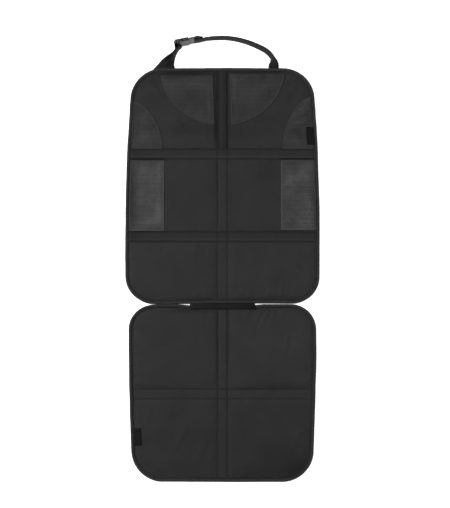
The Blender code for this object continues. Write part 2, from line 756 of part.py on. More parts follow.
def main():
    clear_scene()
    materials = make_materials()
    crease = add_empty("crease", Matrix())
    band_ys = (BACK_HEAD_Y - BACK_UPPER_BAND_DOWN, BACK_HEAD_Y - BACK_LOWER_BAND_DOWN)
    back = Panel(
        BACK_FOOT_Y,
        BACK_HEAD_Y,
        (BACK_FOOT_WIDTH, BACK_HEAD_WIDTH),
        BACK_SIDE_BOW,
        (BACK_FOOT_RADIUS, BACK_HEAD_RADIUS),
        band_ys,
    )
    seat = Panel(
        SEAT_FOOT_Y,
        SEAT_HEAD_Y,
        (SEAT_FOOT_WIDTH, SEAT_HEAD_WIDTH),
        SEAT_SIDE_BOW,
        (SEAT_FOOT_RADIUS, SEAT_HEAD_RADIUS),
        (SEAT_HEAD_Y - SEAT_BAND_DOWN,),
    )
    add_panel("backrest", back, ("lower", "middle", "upper"), edge_slits(), crease, materials)
    add_panel("seat", seat, ("front", "rear"), (), crease, materials)
    add_pockets(back, crease, materials)
    add_tapes(back, crease, materials)
    back_label = label_loop(back, BACK_HEAD_Y - BACK_LABEL_DOWN, 1)
    seat_label = label_loop(seat, SEAT_HEAD_Y - SEAT_LABEL_DOWN, -1)
    add_on_layer("backrest_label", back, LABEL_Z, back_label, crease, materials["label"])
    add_on_layer("seat_label", seat, POCKET_Z, seat_label, crease, materials["label"])
    add_joining_strip(crease, materials)
    matrix = buckle_matrix()
    bar_x, radius = add_strap(matrix, crease, materials)
    buckle = add_empty("buckle", matrix, crease)
    add_socket(buckle, materials)
    add_plug(bar_x, radius, buckle, materials)
    centre_over_origin(crease)


main()
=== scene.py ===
"""The car seat protector of the photograph, lying on a pale floor and seen from straight above.

Lengths are in metres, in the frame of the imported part: the front faces +Z and the strap is at +Y.
"""

import math
from contextlib import contextmanager

import bmesh
import bpy
import numpy as np
from mathutils import Matrix, Vector
from mathutils.bvhtree import BVHTree
from mathutils.kdtree import KDTree


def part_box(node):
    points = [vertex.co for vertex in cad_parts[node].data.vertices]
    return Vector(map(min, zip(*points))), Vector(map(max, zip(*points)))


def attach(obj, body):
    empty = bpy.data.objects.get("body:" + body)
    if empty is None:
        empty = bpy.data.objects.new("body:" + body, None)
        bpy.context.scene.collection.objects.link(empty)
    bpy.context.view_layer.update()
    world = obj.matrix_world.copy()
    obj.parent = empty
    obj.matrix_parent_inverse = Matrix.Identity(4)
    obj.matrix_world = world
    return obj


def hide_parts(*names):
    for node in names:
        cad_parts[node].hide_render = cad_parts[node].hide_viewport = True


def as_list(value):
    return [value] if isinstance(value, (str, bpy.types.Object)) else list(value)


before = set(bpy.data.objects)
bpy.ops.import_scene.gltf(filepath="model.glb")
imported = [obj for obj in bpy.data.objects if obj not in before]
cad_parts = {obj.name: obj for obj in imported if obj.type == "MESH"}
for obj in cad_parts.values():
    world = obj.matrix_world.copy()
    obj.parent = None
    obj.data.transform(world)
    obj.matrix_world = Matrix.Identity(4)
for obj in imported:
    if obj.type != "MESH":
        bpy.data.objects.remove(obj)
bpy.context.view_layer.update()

# Sizes that the pieces share, as in the part
EDGING_WIDTH = 0.0086
BAND_HALF = 0.0118
LABEL_WIDTH, LABEL_LENGTH = 0.016, 0.042
WEB_WIDTH, WEB_THICKNESS = 0.025, 0.0012
WEB_TUCK = 0.006
GAP = 0.0003

# How the cloth lies: the height of its seams, how far and how soon it rises beside them, and where it stops
SEWN_HEIGHT = 0.0030
PUFF = 0.0031
CROWN_RUN = 0.0085
CLOTH_INSET = 0.0035

# How far inside the panel's edge the nets end, and how far the tapes run on under the edging
NET_INSET = 0.0082
TAPE_TUCK = 0.0022

# Stitches: from one to the next, their length, how high they stand, and their thread
STITCH_PITCH, STITCH_LENGTH, STITCH_LIFT = 0.0034, 0.0026, 0.0001
THREAD_RADIUS, THREAD_SIDES = 0.0003, 5

# The photograph: millimetres to a pixel, and the pixel over the middle of the part
MM_PER_PIXEL = 2.4
MIDDLE_PIXEL = (222.5, 259.0)
IMAGE_SIZE = (450, 508)


def at_pixel(px, py):
    """The place on the part under a pixel of the photograph."""
    return (px - MIDDLE_PIXEL[0]) * MM_PER_PIXEL / 1000, (MIDDLE_PIXEL[1] - py) * MM_PER_PIXEL / 1000


def pixels_from(x, y, px, py):
    """How many pixels each place lies to the right of a pixel of the photograph, and above it."""
    middle_x, middle_y = at_pixel(px, py)
    return (x - middle_x) * 1000 / MM_PER_PIXEL, (y - middle_y) * 1000 / MM_PER_PIXEL


def eased_cells(spots):
    """The whole part of each number, and the rest of it eased at both ends."""
    cells = np.floor(spots).astype(int)
    rest = spots - cells
    return cells, rest * rest * (3 - 2 * rest)


def ripple(along, wavelength, seed, count=997):
    """Smooth seeded noise from -1 to 1 along a line."""
    table = np.random.default_rng(seed).uniform(-1, 1, count)
    cell, share = eased_cells(np.asarray(along, float) / wavelength + 311.0)
    return table[cell % count] * (1 - share) + table[(cell + 1) % count] * share


def billow(x, y, wavelength, seed, count=211):
    """Smooth seeded noise from -1 to 1 over the floor plane."""
    table = np.random.default_rng(seed).uniform(-1, 1, (count, count))
    (i, s), (j, t) = (eased_cells(np.asarray(line, float) / wavelength + 80.0) for line in (x, y))
    i, j, k, m = i % count, j % count, (i + 1) % count, (j + 1) % count
    low = table[i, j] * (1 - s) + table[k, j] * s
    high = table[i, m] * (1 - s) + table[k, m] * s
    return low * (1 - t) + high * t


def rise(distance, run=CROWN_RUN):
    """How far cloth has risen, from 0 at a seam to 1 well away from it."""
    return 1 - np.exp(-np.maximum(distance, 0) / run)


def run_along(places):
    """How far along a line each of its places is."""
    steps = np.linalg.norm(np.diff(np.asarray(places, float), axis=0), axis=1)
    return np.concatenate([[0], np.cumsum(steps)])


def area_of(loop):
    """The area inside a loop, positive when it runs counterclockwise."""
    ahead = np.roll(loop, -1, axis=0)
    return np.sum(loop[:, 0] * ahead[:, 1] - ahead[:, 0] * loop[:, 1]) / 2


class Outline:
    """A closed loop of points in even steps, with the nearest one to any place."""

    def __init__(self, points, step):
        closed = np.vstack([points, points[:1]])
        total = run_along(closed)
        count = max(8, round(total[-1] / step))
        marks = np.arange(count) * total[-1] / count
        self.points = np.stack([np.interp(marks, total, closed[:, axis]) for axis in (0, 1)], axis=1)
        self.step = total[-1] / count
        ahead, behind = np.roll(self.points, -1, axis=0), np.roll(self.points, 1, axis=0)
        along = (ahead - behind) / np.linalg.norm(ahead - behind, axis=1)[:, None]
        self.inwards = np.stack([-along[:, 1], along[:, 0]], axis=1)
        self.tree = KDTree(count)
        for index, (x, y) in enumerate(self.points):
            self.tree.insert((x, y, 0), index)
        self.tree.balance()

    def nearest(self, x, y):
        """For each place, how far inside the loop it is and how far along the loop."""
        inside, along = np.empty(len(x)), np.empty(len(x))
        for n, (px, py) in enumerate(zip(x, y)):
            _, index, _ = self.tree.find((px, py, 0))
            (edge_x, edge_y), (in_x, in_y) = self.points[index], self.inwards[index]
            inside[n] = (px - edge_x) * in_x + (py - edge_y) * in_y
            along[n] = index * self.step
        return inside, along


# The uneven edges where the two panels meet: pixel across, and how far up the edge is pulled in millimetres
BACK_CREASE = (
    (140, 0), (146, -1.4), (150, -2.2), (156, -2.5), (162, -2.7), (170, -2.7), (176, -2.4), (181, -2.1),
    (187, -1.9), (194, -1.4), (206, -0.8), (222, -0.5), (240, -0.6), (256, -1.0), (262, -1.1), (271, -1.1),
    (283, -1.4), (290, -1.5), (295, -1.3), (300, -0.7), (306, 0),
)
SEAT_CREASE = (
    (140, 0), (149, 0.0), (153, 0.4), (157, 1.0), (162, 1.4), (170, 1.3), (175, 0.8), (179, 0.1), (183, -0.5),
    (186, -1.3), (190, -2.2), (196, -1.2), (210, -0.5), (240, -0.5), (252, -1.3), (256, -1.5), (259, -0.4),
    (263, 0.4), (271, 0.4), (283, 0.3), (289, 0.2), (293, 0.1), (297, 0), (306, 0),
)


class Panel:
    """The plan of one panel of the mat and the height of the cloth over it."""

    def __init__(self, name, widths, bow, radii, bands, wave_seed, crease):
        low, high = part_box(name)
        self.foot, self.head = low[1], high[1]
        self.widths, self.bow, self.radii, self.crease = widths, bow, radii, crease
        self.bands = [self.head - down for down in bands]
        self.seed = wave_seed
        self.crease_y = self.foot if crease is BACK_CREASE else self.head
        self.edge = Outline(self.corners_and_sides(), 0.0015)

    def half_width(self, y):
        """Half the width at y, between straight sides that bow out a little."""
        share = (y - self.foot) / (self.head - self.foot)
        straight = self.widths[0] + (self.widths[1] - self.widths[0]) * share
        return straight / 2 + self.bow * 4 * share * (1 - share)

    def corners_and_sides(self):
        """The edge, counterclockwise from the foot, with the small waves of a sewn edge."""
        right = []
        foot_radius, head_radius = self.radii
        for turn in np.radians(np.linspace(-90, 0, 40)):
            y = self.foot + foot_radius * (1 + math.sin(turn))
            right.append((self.half_width(y) - foot_radius * (1 - math.cos(turn)), y))
        for y in np.linspace(self.foot + foot_radius, self.head - head_radius, 60)[1:-1]:
            right.append((self.half_width(y), y))
        for turn in np.radians(np.linspace(0, 90, 40)):
            y = self.head - head_radius * (1 - math.sin(turn))
            right.append((self.half_width(y) - head_radius * (1 - math.cos(turn)), y))
        loop = np.array(right + [(-x, y) for x, y in reversed(right)])
        plain = Outline(loop, 0.004)
        marks = np.arange(len(plain.points)) * plain.step
        fade = np.sin(np.pi * np.arange(len(marks)) / len(marks)) ** 0.5
        wave = 0.0006 * ripple(marks, 0.085, self.seed) + 0.00025 * ripple(marks, 0.021, self.seed + 1)
        points = plain.points + plain.inwards * (wave * fade)[:, None]
        at_crease = np.abs(points[:, 1] - self.crease_y) < 0.02
        pixels, up = zip(*self.crease)
        places = [at_pixel(px, 0)[0] for px in pixels]
        points[:, 1] += at_crease * np.interp(points[:, 0], places, np.array(up) / 1000)
        return points

    def seams(self):
        """The straight seams, each with the axis it is measured on and its place there."""
        across = [("y", band + side * BAND_HALF) for band in self.bands for side in (-1, 1)]
        return [("x", -BAND_HALF), ("x", BAND_HALF)] + across

    def to_bands(self, x, y):
        """The distance to the nearer seam of the middle band, and of each cross band."""
        return [np.abs(np.abs(x) - BAND_HALF)] + [np.abs(np.abs(y - band) - BAND_HALF) for band in self.bands]

    def crown(self, x, y, inside):
        """How far the padding lifts the cloth, from 0 at the seams to 1."""
        lift = rise(inside - EDGING_WIDTH) * rise(np.abs(x) - BAND_HALF)
        for band in self.bands:
            lift = lift * rise(np.abs(y - band) - BAND_HALF)
        return lift

    def band_lift(self, x, y, inside):
        """The flat ridge of the unpadded bands between a pair of seams."""
        lift = np.zeros(len(x))
        for gap in [BAND_HALF - np.abs(x)] + [BAND_HALF - np.abs(y - band) for band in self.bands]:
            lift = np.maximum(lift, rise(gap, 0.0022) * (gap > 0))
        on_seam = np.min(self.to_bands(x, y), axis=0)
        return lift * rise(on_seam, 0.0018) * rise(inside - EDGING_WIDTH, 0.004)

    def seam_distance(self, x, y, inside):
        """The distance to the nearest line of stitches."""
        return np.min(self.to_bands(x, y) + [np.abs(inside - EDGING_WIDTH)], axis=0)

    def seam_shade(self, x, y, inside):
        """How much painted shade lies in the groove of each seam, deepest near the head of the panel."""
        upper = np.clip((y - self.foot) / (self.head - self.foot) * 1.6 - 0.3, 0, 1)
        grooves = [(np.abs(np.abs(x) - BAND_HALF), 0.55 + 0.45 * upper, 0.0020)]
        taped = len(self.bands) > 1
        for side, depth, wide in ((1, 0.45 if taped else 0.70, 0.0017), (-1, 0.40 if taped else 0.55, 0.0014)):
            grooves += [(np.abs(y - band - side * BAND_HALF), depth, wide) for band in self.bands]
        grooves.append((np.abs(inside - EDGING_WIDTH), 1.0, 0.0019))
        return np.max([depth * np.exp(-((away / wide) ** 2)) for away, depth, wide in grooves], axis=0)


# Meshes and pieces


def link_new(name, data):
    """A new object in the scene."""
    obj = bpy.data.objects.new(name, data)
    bpy.context.scene.collection.objects.link(obj)
    return obj


def add_mesh(name, points, faces, material, smooth=True):
    """A piece from its points and faces."""
    mesh = bpy.data.meshes.new(name)
    mesh.from_pydata([tuple(p) for p in points], [], [tuple(f) for f in faces])
    mesh.polygons.foreach_set("use_smooth", [smooth] * len(mesh.polygons))
    mesh.materials.append(material)
    return link_new(name, mesh)


@contextmanager
def editing(mesh, result=None):
    """Opens a mesh for changes, and writes them to it or to another mesh."""
    bm = bmesh.new()
    bm.from_mesh(mesh)
    yield bm
    bm.to_mesh(result or mesh)
    bm.free()


def seat(obj, slot, *nodes):
    """Rides a piece on the mat and hides the plain solids it stands for. Its slot is not used."""
    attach(obj, "root")
    if nodes:
        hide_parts(*nodes)
    return obj


def grid_lines(low, high, step, seams):
    """Places from low to high, close together beside each seam."""
    marks = {low, high}
    for seam in seams:
        for offset in (0, 0.0012, 0.0028, 0.0052):
            marks |= {seam - offset, seam + offset}
    marks = sorted(mark for mark in marks if low <= mark <= high)
    found = [marks[0]]
    for mark in marks[1:]:
        pieces = max(1, round((mark - found[-1]) / step))
        found += list(np.linspace(found[-1], mark, pieces + 1)[1:])
    return np.array(found)


def panel_grid(panel, step, inset):
    """A grid over the panel, lined up with its seams and trimmed to its edge.

    Gives x, y, faces, the distance inside the edge and along it, and the points of the rim.
    """
    reach = max(panel.half_width(y) for y in np.linspace(panel.foot, panel.head, 50)) + 0.001
    xs = grid_lines(-reach, reach, step, [-BAND_HALF, BAND_HALF])
    ys = grid_lines(panel.foot, panel.head, step, [line for axis, line in panel.seams() if axis == "y"])
    x, y = [g.ravel() for g in np.meshgrid(xs, ys)]
    inside, _ = panel.edge.nearest(x, y)
    wide = len(xs)
    keep = inside > inset
    quads = [
        (a, a + 1, a + wide + 1, a + wide)
        for row in range(len(ys) - 1)
        for a in range(row * wide, row * wide + wide - 1)
        if keep[a] and keep[a + 1] and keep[a + wide] and keep[a + wide + 1]
    ]
    used = np.unique(np.array(quads))
    new_index = np.full(len(x), -1)
    new_index[used] = np.arange(len(used))
    quads = new_index[np.array(quads)]
    x, y = x[used], y[used]
    ends = np.sort(np.concatenate([quads[:, [k, (k + 1) % 4]] for k in range(4)]), axis=1)
    pairs, uses = np.unique(ends, axis=0, return_counts=True)
    rim = np.unique(pairs[uses == 1])
    for n in rim:
        _, index, _ = panel.edge.tree.find((x[n], y[n], 0))
        x[n], y[n] = panel.edge.points[index] + panel.edge.inwards[index] * inset
    inside, along = panel.edge.nearest(x, y)
    return x, y, quads, inside, along, rim


def pucker(distance, along, run, wavelength, seed):
    """Small folds that run away from a seam and die out."""
    slant = along + distance * 0.35 * ripple(along, 0.11, seed + 7)
    shape = 0.75 * ripple(slant, wavelength, seed) + 0.35 * ripple(slant, wavelength * 0.47, seed + 3)
    near = np.maximum(distance, 0) / run
    strength = 0.55 + 0.45 * ripple(along, 0.075, seed + 5)
    return shape * strength * near * np.exp(1 - near)


# Folds seen in the photograph: from one pixel to another, half width and height in millimetres
BACK_FOLDS = (
    (196, 299, 193, 289, 3.0, 0.9), (188, 299.5, 187, 292, 2.5, 0.7), (204, 299, 206, 290, 2.8, 0.8),
    (236, 299, 240, 288, 3.0, 0.9), (246, 299, 252, 285, 3.2, 0.9), (256, 299, 259, 291, 2.6, 0.8),
    (266, 299, 270, 284, 3.4, 0.8), (280, 298.5, 284, 276, 4.5, 0.8), (292, 297, 296, 288, 3.0, 0.8),
    (180, 299, 178, 293, 2.6, 0.6), (197, 243, 194, 258, 4.0, 0.7), (209, 243, 210, 256, 3.4, 0.6),
    (160, 243, 158, 262, 4.5, 0.5), (262, 243, 268, 262, 4.5, 0.6), (296, 266, 306, 282, 5.0, 0.6),
    (132, 256, 140, 262, 3.5, 0.5), (150, 82, 172, 112, 6.0, 0.8), (176, 120, 192, 140, 6.0, 0.7),
    (296, 84, 278, 112, 7.0, 0.8), (252, 122, 284, 130, 6.0, 0.7), (238, 128, 246, 146, 5.0, 0.6),
    (205, 128, 208, 147, 5.0, 0.6),
)
SEAT_FOLDS = (
    (262, 310, 252, 330, 3.4, 1.0), (268, 311, 260, 327, 3.2, 0.9), (275, 310, 271, 322, 3.0, 0.9),
    (284, 311, 281, 320, 2.8, 0.7), (250, 309, 247, 318, 2.8, 0.8), (240, 309, 239, 316, 2.6, 0.7),
    (288, 336, 281, 366, 5.0, 0.9), (305, 330, 293, 339, 3.6, 1.0), (314, 362, 304, 368, 2.6, 1.1),
    (314, 374, 305, 383, 3.0, 1.0), (196, 309, 190, 316, 2.8, 0.9), (205, 309, 202, 318, 3.0, 0.9),
    (185, 309, 180, 314, 2.6, 0.7), (132, 372, 142, 373, 2.4, 0.9), (132, 381, 143, 383, 2.4, 1.0),
    (133, 353, 152, 344, 4.0, 0.8), (209, 476, 212, 464, 2.6, 1.1), (203, 476, 200, 468, 2.6, 0.8),
    (231, 477, 235, 466, 2.6, 0.9), (240, 477, 246, 468, 2.8, 0.8), (250, 340, 262, 352, 6.0, 0.6),
    (170, 412, 182, 424, 6.0, 0.9), (186, 430, 166, 460, 7.0, 0.9), (205, 440, 192, 472, 7.0, 0.8),
    (262, 418, 296, 440, 7.0, 0.9), (240, 436, 262, 462, 7.0, 0.8), (300, 430, 284, 466, 7.0, 0.9),
    (150, 408, 146, 424, 5.0, 0.7),
)


def folds_at(x, y, folds):
    """Soft ridges along the folds, and the hollow beside each."""
    height = np.zeros(len(x))
    for ax, ay, bx, by, wide, high in folds:
        start, end = np.array(at_pixel(ax, ay)), np.array(at_pixel(bx, by))
        ahead = end - start
        length = np.hypot(*ahead)
        ahead = ahead / length
        along = (x - start[0]) * ahead[0] + (y - start[1]) * ahead[1]
        away = ((x - start[0]) * -ahead[1] + (y - start[1]) * ahead[0]) * 1000 / wide
        before, after = np.minimum(along, 0) / 0.004, np.maximum(along, 0) / (0.75 * length)
        fade = np.exp(-(before**2)) * np.exp(-(after**3))
        height += high / 1000 * fade * (np.exp(-(away**2)) - 0.6 * np.exp(-((away - 2.0) ** 2)))
    return height


# Painted shadows in the cloth's colour: middle pixel, reach across and along in pixels, and strength.
# A strength below 0 is a patch of painted light.
BACK_SHADOWS = (
    (185, 73.2, 27, 2.4, 1.25), (256, 72.3, 26, 1.4, 0.8), (190, 98, 10, 9, 0.10), (215.9, 112, 1.7, 36, 0.85),
    (228.8, 110, 1.8, 40, 0.60), (222, 131, 20, 9, 0.14), (173, 76.2, 10, 1.6, 0.6), (136, 92, 9, 13, 0.15),
    (229.8, 195, 2.2, 32, 0.30), (196, 121, 16, 5, 0.10), (236, 130, 6, 9, 0.12), (270, 126, 16, 8, 0.08),
    (172, 196, 2.4, 12, 0.10), (275, 165, 8, 8, 0.08), (158, 99, 9, 8, 0.16), (297, 90, 10, 12, 0.16),
    (188, 127, 12, 7, 0.12), (268, 116, 20, 7, 0.12), (199, 248, 8, 8, 0.14), (215.5, 262, 1.6, 16, 0.10),
    (200, 299, 12, 1.8, 0.5), (250, 298.6, 14, 1.6, 0.45), (284, 297.5, 16, 1.6, 0.4), (143, 81, 13, 6, 0.30),
    (134, 98, 7, 13, 0.24), (153, 100, 9, 9, 0.16), (190, 130, 24, 5, 0.26), (256, 131, 28, 5, 0.20),
    (187, 178, 18, 32, 0.12), (234, 186, 5, 36, 0.15), (268, 168, 11, 14, 0.28), (284, 92, 8, 14, 0.20),
    (266, 118, 22, 6, 0.14), (158, 80, 18, 5, 0.26), (266, 186, 10, 14, 0.14), (298, 268, 13, 26, -0.14),
    (147, 159.4, 18, 1.1, 1.1), (300, 159.0, 17.5, 1.0, 1.1),
)
SEAT_SHADOWS = (
    (190, 310, 20, 2.2, 0.55), (255, 309.6, 16, 1.6, 0.4), (217.1, 345, 1.2, 40, 0.5),
    (227.8, 335, 1.6, 30, 0.55), (152, 387, 16, 2.2, 0.25), (285, 386, 20, 3.0, 0.35),
    (246, 388.5, 12, 1.8, 0.30), (200, 455, 18, 26, 0.14), (262, 440, 40, 30, 0.14), (292, 462, 30, 16, 0.30),
    (270, 474, 40, 8, 0.20), (302, 470, 14, 12, 0.30), (150, 460, 10, 14, 0.10), (199, 438, 16, 11, 0.13),
    (230, 440, 12, 16, 0.08), (178, 467, 30, 5, 0.16), (174, 410, 10, 8, 0.20), (252, 408, 12, 7, 0.18),
    (154, 436, 13, 6, 0.13), (270, 344, 38, 33, -0.12), (302, 340, 9, 30, -0.08), (205, 342, 7, 30, -0.12),
)


def shadows_at(x, y, shadows):
    """How dark the shadows make each place, with uneven outlines."""
    dark = np.zeros(len(x))
    uneven = [0.22 * billow(x, y, 0.026, seed) + 0.12 * billow(x, y, 0.009, seed + 1) for seed in (88, 94)]
    for px, py, wide, long, strength in shadows:
        right, up = pixels_from(x, y, px, py)
        dark += strength / (1 + np.abs(right / wide + uneven[0]) ** 5 + np.abs(up / long + uneven[1]) ** 5)
    return dark


def settle(obj, sewn, frames=16):
    """Puffs the cloth between its seams as if it were cut a little too long for them."""
    held = obj.vertex_groups.new(name="sewn")
    held.add([int(n) for n in sewn], 1.0, "REPLACE")
    cloth = obj.modifiers.new("cloth", "CLOTH")
    settings = cloth.settings
    settings.vertex_group_mass = "sewn"
    settings.quality = 4
    settings.mass = 0.2
    settings.tension_stiffness = settings.compression_stiffness = 14
    settings.shear_stiffness = 5
    settings.bending_stiffness = 0.15
    settings.shrink_min = -0.012
    settings.use_pressure = True
    settings.uniform_pressure_force = 0.05
    settings.effector_weights.gravity = 0
    cloth.collision_settings.use_collision = False
    cloth.point_cache.frame_start, cloth.point_cache.frame_end = 1, frames
    for step in range(1, frames + 1):
        bpy.context.scene.frame_set(step)
    evaluated = obj.evaluated_get(bpy.context.evaluated_depsgraph_get())
    found = np.empty(len(obj.data.vertices) * 3)
    evaluated.data.vertices.foreach_get("co", found)
    obj.modifiers.remove(cloth)
    obj.vertex_groups.remove(held)
    bpy.context.scene.frame_set(1)
    return found.reshape(-1, 3)


def set_shade(obj, values, darkest=1.1):
    """Stores how dark each point of a piece is, for its material: painted shade and shadow, stitching, and on
    the nets their doubled and thin patches.
    """
    layer = obj.data.attributes.new("shade", "FLOAT", "POINT")
    layer.data.foreach_set("value", np.minimum(np.asarray(values, np.float32), darkest))


def add_cloth(name, panel, folds, shadows):
    """The front cloth of a panel: crowned over its padding, sewn down at its seams, with small puckers."""
    x, y, quads, inside, along, rim = panel_grid(panel, 0.0038, CLOTH_INSET)
    crown, seed = panel.crown(x, y, inside), panel.seed
    z = SEWN_HEIGHT + PUFF * crown + 0.0010 * panel.band_lift(x, y, inside)
    z += 0.00070 * crown * billow(x, y, 0.10, seed + 20) + 0.00040 * crown * billow(x, y, 0.036, seed + 21)
    from_edge = inside - EDGING_WIDTH
    z += crown**0.5 * folds_at(x, y, folds)
    z += 0.00085 * pucker(from_edge, along, 0.007, 0.012, seed + 30)
    for index, (axis, line) in enumerate(panel.seams()):
        across, length = (x - line, y) if axis == "x" else (y - line, x)
        away = np.abs(across)
        outside = across * math.copysign(1, line) > 0 if axis == "x" else np.ones(len(x), bool)
        z += 0.00060 * pucker(away, length, 0.006, 0.014, seed + 40 + index) * outside * rise(from_edge, 0.01)
    start = np.stack([x, y, z], axis=1)
    obj = add_mesh(name, start, quads, FINISHES["cloth"])
    stitched = panel.seam_distance(x, y, inside) < 0.0003
    sewn = np.unique(np.concatenate([np.nonzero(stitched | (inside < EDGING_WIDTH))[0], rim]))
    moved, furthest, deepest = settle(obj, sewn) - start, 0.0011, -0.0004
    capped = furthest * np.tanh(moved / furthest)
    capped[:, 2] = np.maximum(capped[:, 2], deepest)
    start = start + capped
    obj.data.vertices.foreach_set("co", start.ravel())
    obj.data.update()
    # Painted shade: the seam grooves, unevenly along them, and the listed painted shadows and lighter patches.
    grooves = panel.seam_shade(x, y, inside)
    uneven = 0.80 + 0.16 * ripple(x + y * 1.3, 0.017, seed + 70) + 0.16 * ripple(x * 1.1 + y, 0.0058, seed + 71)
    set_shade(obj, uneven * grooves + shadows_at(x, y, shadows) * (1 - grooves))
    finer = obj.modifiers.new("finer", "SUBSURF")
    finer.levels = finer.render_levels = 1
    panel.cloth = obj
    return obj, surface_of(start, quads)


def surface_of(points, faces):
    """A surface that height_on can measure."""
    return BVHTree.FromPolygons([tuple(p) for p in points], [tuple(int(n) for n in f) for f in faces])


def height_on(surface, x, y):
    """How high a surface is at a place, or the height of the seams where it has none."""
    hit = surface.ray_cast((x, y, 0.1), (0, 0, -1))
    return hit[0].z if hit[0] else SEWN_HEIGHT


def add_lining(name, panel):
    """The non-slip cloth on the back, flat on the floor between its seams."""
    x, y, quads, inside, _, _ = panel_grid(panel, 0.009, CLOTH_INSET)
    z = 0.0010 - 0.0009 * panel.crown(x, y, inside)
    return add_mesh(name, np.stack([x, y, z], axis=1), quads[:, ::-1], FINISHES["lining"])


def sweep(loop, section, closed=True):
    """Points and faces of a section carried along a loop. section(n) gives (inset, z) rows for point n."""
    rings = []
    for n, (place, inwards) in enumerate(zip(loop.points, loop.inwards)):
        rings += [(place[0] + inwards[0] * s, place[1] + inwards[1] * s, z) for s, z in section(n)]
    count = len(loop.points)
    width = len(rings) // count
    faces = []
    for n in range(count):
        here, after = n * width, (n + 1) % count * width
        for k in range(width if closed else width - 1):
            m = (k + 1) % width
            faces.append((here + k, after + k, after + m, here + m))
    return rings, faces


def add_edging(name, panel):
    """Ribbed tape folded round the edge and sewn through, its inner edge pressed into the cloth."""
    loop, seed = panel.edge, panel.seed
    count = len(loop.points)
    marks = np.arange(count) * loop.step
    swell = 0.00022 * ripple(marks, 0.016, seed + 60) + 0.00018 * ripple(marks, 0.05, seed + 61)
    inner = EDGING_WIDTH + 0.00045 * ripple(marks, 0.03, seed + 62)
    rib = np.where(np.arange(count) % 2 == 0, 0.00007, -0.00007)

    def section(n):
        w, r = inner[n], rib[n]
        s = swell[n] + r
        return [
            (w, 0.0002), (0.0022, 0.0001), (0.0006 - r, 0.0008), (0.0 - r, 0.0022), (0.0003 - r, 0.0038 + s),
            (0.0014, 0.0049 + s), (0.0032, 0.0053 + s), (0.0052, 0.0051 + s), (0.0067, 0.0043 + 0.6 * s),
            (0.0076, 0.0042 + 0.6 * s), (w - 0.0002, 0.0040 + 0.4 * s), (w + 0.0002, 0.0032),
            (w - 0.0002, 0.0029), (0.0050, 0.0030), (0.0012, 0.0026), (0.0050, 0.0009),
        ]

    obj = add_mesh(name, *sweep(loop, section), FINISHES["edging"])
    # Painted shade: darker rows where the tape's inner edge turns down into the cloth and under, darker near
    # the crease where the panels meet, and unevenly darker and paler along it.
    rows = np.array([0, 0, 0, 0, 0, 0, 0, 0.15, 0.75, 0.35, 0.85, 1, 1, 1, 1, 0.5])
    from_crease = np.abs(loop.points[:, 1] - panel.crease_y)
    dark = 0.22 * np.exp(-((from_crease / 0.006) ** 2)) + 0.12 * ripple(marks, 0.0062, seed + 66)
    set_shade(obj, np.clip(np.tile(rows, count) + np.repeat(dark, len(rows)), 0, 1))
    set_run(obj, np.repeat(marks, len(rows)), np.tile(np.arange(len(rows)) * 0.0012, count))
    return obj


def stitch_row(places, length=STITCH_LENGTH, radius=THREAD_RADIUS):
    """Points and faces of short rounded threads along a line of (x, y, z) places."""
    places, total = np.asarray(places), run_along(places)
    sag = np.array([-1.2, 0.1, STITCH_LIFT / radius, 0.1, -1.2]) * radius
    wide = np.array([0.25, 0.9, 1.0, 0.9, 0.25]) * radius
    points, faces = [], []
    for start in np.arange(0, total[-1] - length, STITCH_PITCH):
        marks = start + np.array([0, 0.12, 0.5, 0.88, 1.0]) * length
        middle = np.stack([np.interp(marks, total, places[:, axis]) for axis in range(3)], axis=1)
        along = middle[-1] - middle[0]
        size = math.hypot(along[0], along[1]) or 1.0
        side = np.array([-along[1] / size, along[0] / size, 0])
        base = len(points)
        for place, down, half in zip(middle, sag, wide):
            for turn in range(THREAD_SIDES):
                angle = math.tau * turn / THREAD_SIDES
                rim = place + side * half * math.cos(angle)
                points.append(rim + np.array([0, 0, down + half * math.sin(angle)]))
        last = base + THREAD_SIDES * (len(marks) - 1)
        for ring in range(base, last, THREAD_SIDES):
            for turn in range(THREAD_SIDES):
                a, b = ring + turn, ring + (turn + 1) % THREAD_SIDES
                faces.append((a, b, b + THREAD_SIDES, a + THREAD_SIDES))
        faces.append(tuple(base + turn for turn in reversed(range(THREAD_SIDES))))
        faces.append(tuple(last + turn for turn in range(THREAD_SIDES)))
    return points, faces


def add_threads(name, rows):
    """One piece from several rows of stitches."""
    points, faces = [], []
    for more_points, more_faces in rows:
        base = len(points)
        points += more_points
        faces += [tuple(n + base for n in face) for face in more_faces]
    return seat(add_mesh(name, points, faces, FINISHES["thread"]), "tape")


def add_stitches(name, panel, surface):
    """The lines of thread along the seams of a panel and near the inner edge of its edging."""
    rows = []
    margin = EDGING_WIDTH + 0.002
    for axis, line in panel.seams():
        if axis == "x":
            places = [(line, y) for y in np.arange(panel.foot + margin, panel.head - margin, 0.002)]
        else:
            reach = panel.half_width(line) - margin
            places = [(x, line) for x in np.arange(-reach, reach, 0.002)]
        rows.append(stitch_row([(x, y, height_on(surface, x, y) + 0.0002) for x, y in places]))
    edge = [(x, y, 0.0043) for x, y in panel.edge.points + panel.edge.inwards * 0.0071]
    rows.append(stitch_row(edge + edge[:1]))
    return add_threads(name, rows)


# Nets


# How dark a net is away from its patches, the way from one hole to the next across and along,
# and the hole's share of its mesh in even and odd rows
NET_SHADE = 0.25
NET_PITCH = (0.0031, 0.00307)
HOLE_SHARES = (0.545, 0.495)


def in_loop(x, y, loop):
    """Whether places lie inside a closed loop of plan points."""
    inside = np.zeros(len(x), bool)
    for (ax, ay), (bx, by) in zip(loop, np.roll(loop, -1, axis=0)):
        crosses = (ay > y) != (by > y)
        with np.errstate(divide="ignore", invalid="ignore"):
            inside ^= crosses & (x < (bx - ax) * (y - ay) / (by - ay) + ax)
    return inside
